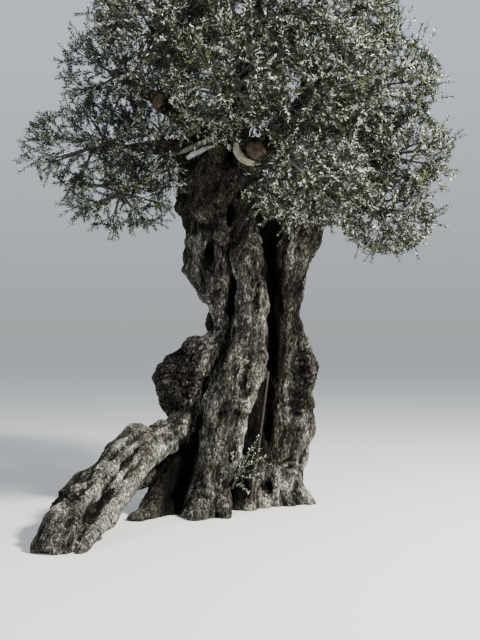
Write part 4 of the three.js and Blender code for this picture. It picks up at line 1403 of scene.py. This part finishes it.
def leaves_on(shoots, rng):
    """Base, direction, face normal and spray number of each leaf."""
    gaps = np.linalg.norm(np.diff(shoots, axis=1), axis=2)
    pairs = np.maximum((gaps.sum(1) / LEAF_SPACING).astype(int), 3)
    spray = np.repeat(np.arange(len(shoots)), pairs)
    number = np.arange(len(spray)) - np.repeat(np.cumsum(pairs) - pairs, pairs)
    share = 0.10 + 0.90 * (number + rng.uniform(0, 0.6, len(spray))) / pairs[spray]
    base, along = on_lines(shoots, spray, share)
    turn = number * math.pi / 2 + rng.uniform(-0.4, 0.4, len(spray))
    out = square_to(along, turn, TWIG_ASIDE)
    base, along, spray = (np.concatenate([values, values]) for values in (base, along, spray))
    out = np.concatenate([out, -out])
    lean = rng.uniform(*LEAN, len(out))[:, None]
    heading = unit(along * np.cos(lean) + out * np.sin(lean) + rng.normal(0, 0.12, out.shape))
    normal = unit(along - (along * heading).sum(1)[:, None] * heading)
    roll = rng.normal(0, 0.5, len(out))[:, None]
    normal = normal * np.cos(roll) + np.cross(heading, normal) * np.sin(roll)
    return base, heading, normal, spray


def leaf_corners(base, heading, normal, size, rng):
    length = size * rng.uniform(*LEAF_LENGTH, len(base))[:, None, None]
    width = size * rng.uniform(*LEAF_WIDTH, len(base))[:, None, None]
    side = np.cross(heading, normal)
    x, y, z = (leaf_shape[:, axis][:, None] for axis in range(3))
    along = heading[:, None] * y * length + normal[:, None] * z * length
    return base[:, None] + side[:, None] * x * width + along


# %% Dealing out the tones
TONES = ("dark", "green", "silver", "pale", "young")
# Shares of the leaves up to which each tone is dealt. The last of the first four takes the rest.
TONE_LIMITS = np.array([0.38, 0.65, 0.85])
YOUNG_SHARE = 0.04
# Crown room from which leaves are painted darker, as shade deep in the crown, and where they are darkest, and
# by how much.
SHADE_ROOM = (1.3, 3.5)
SHADE_SHIFT = 0.4
SMALL_LEAVES = 0.8

by_tone = {tone: [] for tone in TONES}
leafy = [(shoots, 1.0) for _, _, shoots in growth.values()]
leafy.append((basal_shoots, SMALL_LEAVES))
leafy.append((np.stack([even_points(path[-2:], 4) for path in HANGING_LEAFY]), SMALL_LEAVES))
for i, (shoots, size) in enumerate(leafy):
    rng = np.random.default_rng(701 + i)
    base, heading, normal, spray = leaves_on(shoots, rng)
    places = leaf_corners(base, heading, normal, size, rng)
    young = rng.uniform(0, 1, len(shoots)) < YOUNG_SHARE
    # Painted shade: sprays deep in the crown are dealt more dark leaves.
    shade = share_between(crown_room(shoots[:, -1]), *SHADE_ROOM)
    shift = rng.normal(0, 0.15, len(shoots)) - SHADE_SHIFT * shade
    tone = np.searchsorted(TONE_LIMITS, rng.uniform(0, 1, len(spray)) + shift[spray])
    tone = np.where(young[spray], TONES.index("young"), tone)
    for number, kind in enumerate(TONES):
        by_tone[kind].append(places[tone == number])
print({tone: sum(len(part) for part in parts) for tone, parts in by_tone.items()})

# %% Leaf pieces
MOST_LEAVES = 48000

leaf_pieces = {}
for tone, parts in by_tone.items():
    places = np.concatenate(parts)
    shares = math.ceil(len(places) / MOST_LEAVES)
    dealt = [copies_of(leaf_faces, places[k::shares]) for k in range(shares)]
    leaf_pieces[tone] = [mesh_piece(f"leaves_{tone}_{k + 1}", [part]) for k, part in enumerate(dealt)]
print({tone: [len(piece.data.polygons) for piece in pieces] for tone, pieces in leaf_pieces.items()})

# %% [markdown]
# ## The finish of leaves and twigs
#
# The upper side of an olive leaf is waxy, so it glints where it turns to the light. A medium roughness gives
# that, and the near-white pale tone adds painted glints. Each tone has a plain base colour. Twigs are grey
# and dull.

# %% Leaf and twig materials
# The pale tone is near white, painted glints; the dark tone is a leaf's dark upper side with painted shade.
LEAF_COLOURS = {
    "dark": ((0.008, 0.011, 0.006), 0.60),
    "green": ((0.050, 0.060, 0.031), 0.50),
    "silver": ((0.225, 0.246, 0.192), 0.55),
    "pale": ((0.500, 0.524, 0.455), 0.60),
    "young": ((0.080, 0.102, 0.036), 0.45),
}
TWIG_TONES = [(0.35, (0.016, 0.014, 0.010)), (0.65, (0.056, 0.051, 0.041))]


def make_leaf_material(tone):
    colour, roughness = LEAF_COLOURS[tone]
    material, _, shader = new_material(f"olive_leaf_{tone}", roughness)
    shader.inputs["Base Color"].default_value = (*colour, 1)
    shader.inputs["Specular IOR Level"].default_value = 0.2
    return material


def make_patchy(name, roughness, stops, stretch, *pattern):
    """A material whose colour follows one noise, stretched along the grain."""
    material, tree, shader = new_material(name, roughness)
    patches = noise(tree, stretched(tree, stretch), *pattern).outputs["Fac"]
    plug(tree, ramp(tree, patches, stops), shader.inputs["Base Color"])
    return material


for tone, pieces in leaf_pieces.items():
    material = make_leaf_material(tone)
    for piece in pieces:
        piece.data.materials.append(material)
        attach(piece, "root")
        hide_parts(*FOLIAGE_NODES, "basal_shoots")
twig_finish = make_patchy("olive_twig", 0.85, TWIG_TONES, (1, 1, 1), 30.0, 3.0)
for piece in twig_pieces:
    piece.data.materials.append(twig_finish)
    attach(piece, "root")
    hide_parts(*FOLIAGE_NODES, "basal_shoots")
print("crown pieces", sum(len(pieces) for pieces in leaf_pieces.values()) + len(twig_pieces))

# %% [markdown]
# ## Sawn limbs and bare wood
#
# Where the head carried one more limb, a saw has left a round end that faces forward, with a pale rim of
# healing wood under it. A smaller stub points left higher up. Both ends are flattened balls, a little
# uneven, half sunk in their limbs. Two strips of bare pale wood run over the head, and a dry stick leans in
# the cleft.


# %% How sawn ends and bare wood are made
def turned_to(direction, axis="Z"):
    return Vector(direction).to_track_quat(axis, "Y").to_euler()


def uneven(piece, texture, strength):
    finish_with(piece, "DISPLACE", texture=texture, texture_coords="LOCAL", strength=strength, mid_level=0.5)


def sawn_end(name, middle, direction, radius):
    bpy.ops.mesh.primitive_uv_sphere_add(
        segments=64, ring_count=32, radius=1, location=middle, rotation=turned_to(direction),
        scale=(radius, radius, radius * 0.16),
    )
    end = bpy.context.object
    end.name = name
    apply_place(end)
    texture = relief_texture(name + "_dents", "CLOUDS", radius * 0.5, noise_depth=2)
    uneven(end, texture, radius * 0.12)
    bpy.ops.object.shade_smooth()
    return end


def bare_wood(name, stations, roughness=0.012, fineness=0.006):
    piece = limb(stations, name)
    finish_with(piece, "REMESH", mode="VOXEL", voxel_size=fineness, use_smooth_shade=True)
    finish_with(piece, "SMOOTH", factor=0.5, iterations=2)
    uneven(piece, relief_texture(name + "_grain", "CLOUDS", 0.03, noise_depth=2), roughness)
    return piece


# %% Sawn ends, lip, strips and stick
SAWN_MIDDLE = (0.148, -0.468, 3.246)
SAWN_WAY = (0.08, -0.19, 0.082)
SAWN_RADIUS = 0.098
STUB_MIDDLE = (-0.765, -0.162, 3.765)
STUB_WAY = (-0.20, -0.18, 0.05)
STUB_RADIUS = 0.078
LIP = [
    (-0.035, -0.470, 3.320, 0.016), (-0.030, -0.480, 3.255, 0.034), (0.004, -0.490, 3.190, 0.036),
    (0.060, -0.495, 3.145, 0.030), (0.115, -0.490, 3.128, 0.026), (0.185, -0.470, 3.140, 0.014),
]
STRIPS = [
    [(-0.575, -0.215, 3.262, 0.008), (-0.500, -0.235, 3.294, 0.023), (-0.400, -0.255, 3.335, 0.026),
     (-0.235, -0.255, 3.405, 0.020)],
    [(-0.485, -0.285, 3.214, 0.020), (-0.440, -0.298, 3.240, 0.025), (-0.360, -0.306, 3.276, 0.025),
     (-0.245, -0.300, 3.330, 0.010)],
]
STICK = [
    (0.268, -0.020, 1.26, 0.012), (0.205, -0.110, 0.80, 0.012), (0.150, -0.190, 0.42, 0.013),
    (0.083, -0.220, 0.004, 0.016),
]

sawn_pieces = [
    sawn_end("sawn_limb", SAWN_MIDDLE, SAWN_WAY, SAWN_RADIUS),
    sawn_end("sawn_stub", STUB_MIDDLE, STUB_WAY, STUB_RADIUS),
]
bare_pieces = [bare_wood("healing_lip", LIP)]
bare_pieces += [bare_wood(f"bare_strip_{k + 1}", strip) for k, strip in enumerate(STRIPS)]
stick = bare_wood("leaning_stick", STICK, 0.006, 0.005)
print([piece.name for piece in (*sawn_pieces, *bare_pieces, stick)])

# %% [markdown]
# ## The finish of bare wood
#
# End grain is orange brown with rings round its middle, so its colour follows the distance from there. Bare
# wood that has lost its bark is cream with fine streaks. Of the two strips over the head, the upper one is
# painted grey green, in shade, and the lower one silvery, painted sky light. The dry stick is brown, painted
# dark with the shade of the cleft.

# %% Bare wood materials
END_GRAIN = [(0.32, (0.024, 0.016, 0.008)), (0.52, (0.078, 0.054, 0.027)), (0.70, (0.150, 0.112, 0.062))]
CREAM = [(0.30, (0.090, 0.080, 0.050)), (0.50, (0.290, 0.270, 0.195)), (0.72, (0.470, 0.445, 0.345))]
# The two strips are one bare wood: grey green in painted shade on the upper strip, silvery painted sky light
# on the lower.
GREY_GREEN_PAINTED_SHADE = [(0.30, (0.030, 0.032, 0.022)), (0.50, (0.085, 0.092, 0.062)), (0.72, (0.150, 0.160, 0.115))]
SILVERY_PAINTED_SKYLIGHT = [(0.30, (0.080, 0.085, 0.082)), (0.50, (0.230, 0.245, 0.240)), (0.72, (0.380, 0.400, 0.400))]
# The stick is dry brown wood, painted darker with the cleft's shade.
DRY_WOOD_PAINTED_SHADE = [(0.30, (0.008, 0.006, 0.004)), (0.55, (0.024, 0.019, 0.013)), (0.75, (0.052, 0.043, 0.030))]
# Radians of ring pattern for each metre from the middle, and how far blotches push the rings about.
RINGS = 620.0
RING_WANDER = 9.0
STREAKS = ((1, 1, 0.25), 22.0, 5.0, 0.7)


def make_end_grain(name, middle):
    material, tree, shader = new_material(name, 0.85)
    where = own_place(tree)
    away = arithmetic(tree, "DISTANCE", where, middle, kind="ShaderNodeVectorMath")
    blotches = noise(tree, where, 18.0, 4.0).outputs["Fac"]
    turns = arithmetic(tree, "MULTIPLY", away, RINGS)
    turns = arithmetic(tree, "MULTIPLY_ADD", blotches, RING_WANDER, turns)
    rings = arithmetic(tree, "SINE", turns)
    tone = arithmetic(tree, "MULTIPLY_ADD", rings, 0.09, blotches)
    plug(tree, ramp(tree, tone, END_GRAIN), shader.inputs["Base Color"])
    bumped(tree, shader, rings, strength=0.5, distance=0.004)
    return material


finishes = {stick: make_patchy("dry_wood", 0.9, DRY_WOOD_PAINTED_SHADE, *STREAKS)}
for piece, middle in zip(sawn_pieces, (SAWN_MIDDLE, STUB_MIDDLE)):
    finishes[piece] = make_end_grain(piece.name + "_grain", middle)
for piece, stops in zip(bare_pieces, (CREAM, GREY_GREEN_PAINTED_SHADE, SILVERY_PAINTED_SKYLIGHT)):
    finishes[piece] = make_patchy(piece.name + "_wood", 0.9, stops, *STREAKS)
for piece, material in finishes.items():
    piece.data.materials.clear()
    piece.data.materials.append(material)
    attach(piece, "root")
print("bare wood pieces", len(finishes))

# %% [markdown]
# ## Floor and light
#
# A pale floor and a pale surround, as in a studio, with a large soft lamp high on the right, where the sun
# stands, and a weak one on the left that keeps the shade from going black. The surround has the floor's tone
# at the horizon and turns a faint blue higher up.

# %% Floor
bpy.ops.mesh.primitive_circle_add(vertices=128, radius=400, fill_type="NGON", location=(0, 0, -0.002))
floor = bpy.context.object
floor.name = "floor"
material, _, shader = new_material("floor_pale", 0.9)
shader.inputs["Base Color"].default_value = (0.62, 0.62, 0.60, 1)
floor.data.materials.append(material)
print("floor", floor.dimensions[:])

# %% Lights
AIM = Vector((0, 0, 2.4))
ZENITH = (0.76, 0.86, 0.97)
HORIZON = (0.53, 0.555, 0.575)


def softbox(name, place, size, power, colour):
    bpy.ops.object.light_add(type="AREA", location=place, rotation=turned_to(AIM - Vector(place), "-Z"))
    lamp = bpy.context.object
    lamp.name = name
    lamp.data.shape = "DISK"
    lamp.data.size = size
    lamp.data.energy = power
    lamp.data.color = colour


softbox("key", (7.2, -4.6, 8.7), 1.6, 5000, (1.0, 0.96, 0.89))
softbox("fill", (-6.0, -8.0, 4.5), 6.0, 520, (0.92, 0.96, 1.0))
world = bpy.data.worlds.new("surround")
bpy.context.scene.world = world
world.use_nodes = True
tree = world.node_tree
way_out = tree.nodes.new("ShaderNodeTexCoord").outputs["Generated"]
height = add_node(tree, "ShaderNodeSeparateXYZ", Vector=way_out).outputs["Z"]
plug(tree, ramp(tree, height, [(0.0, HORIZON), (0.30, ZENITH)]), tree.nodes["Background"].inputs["Color"])
tree.nodes["Background"].inputs["Strength"].default_value = 0.8
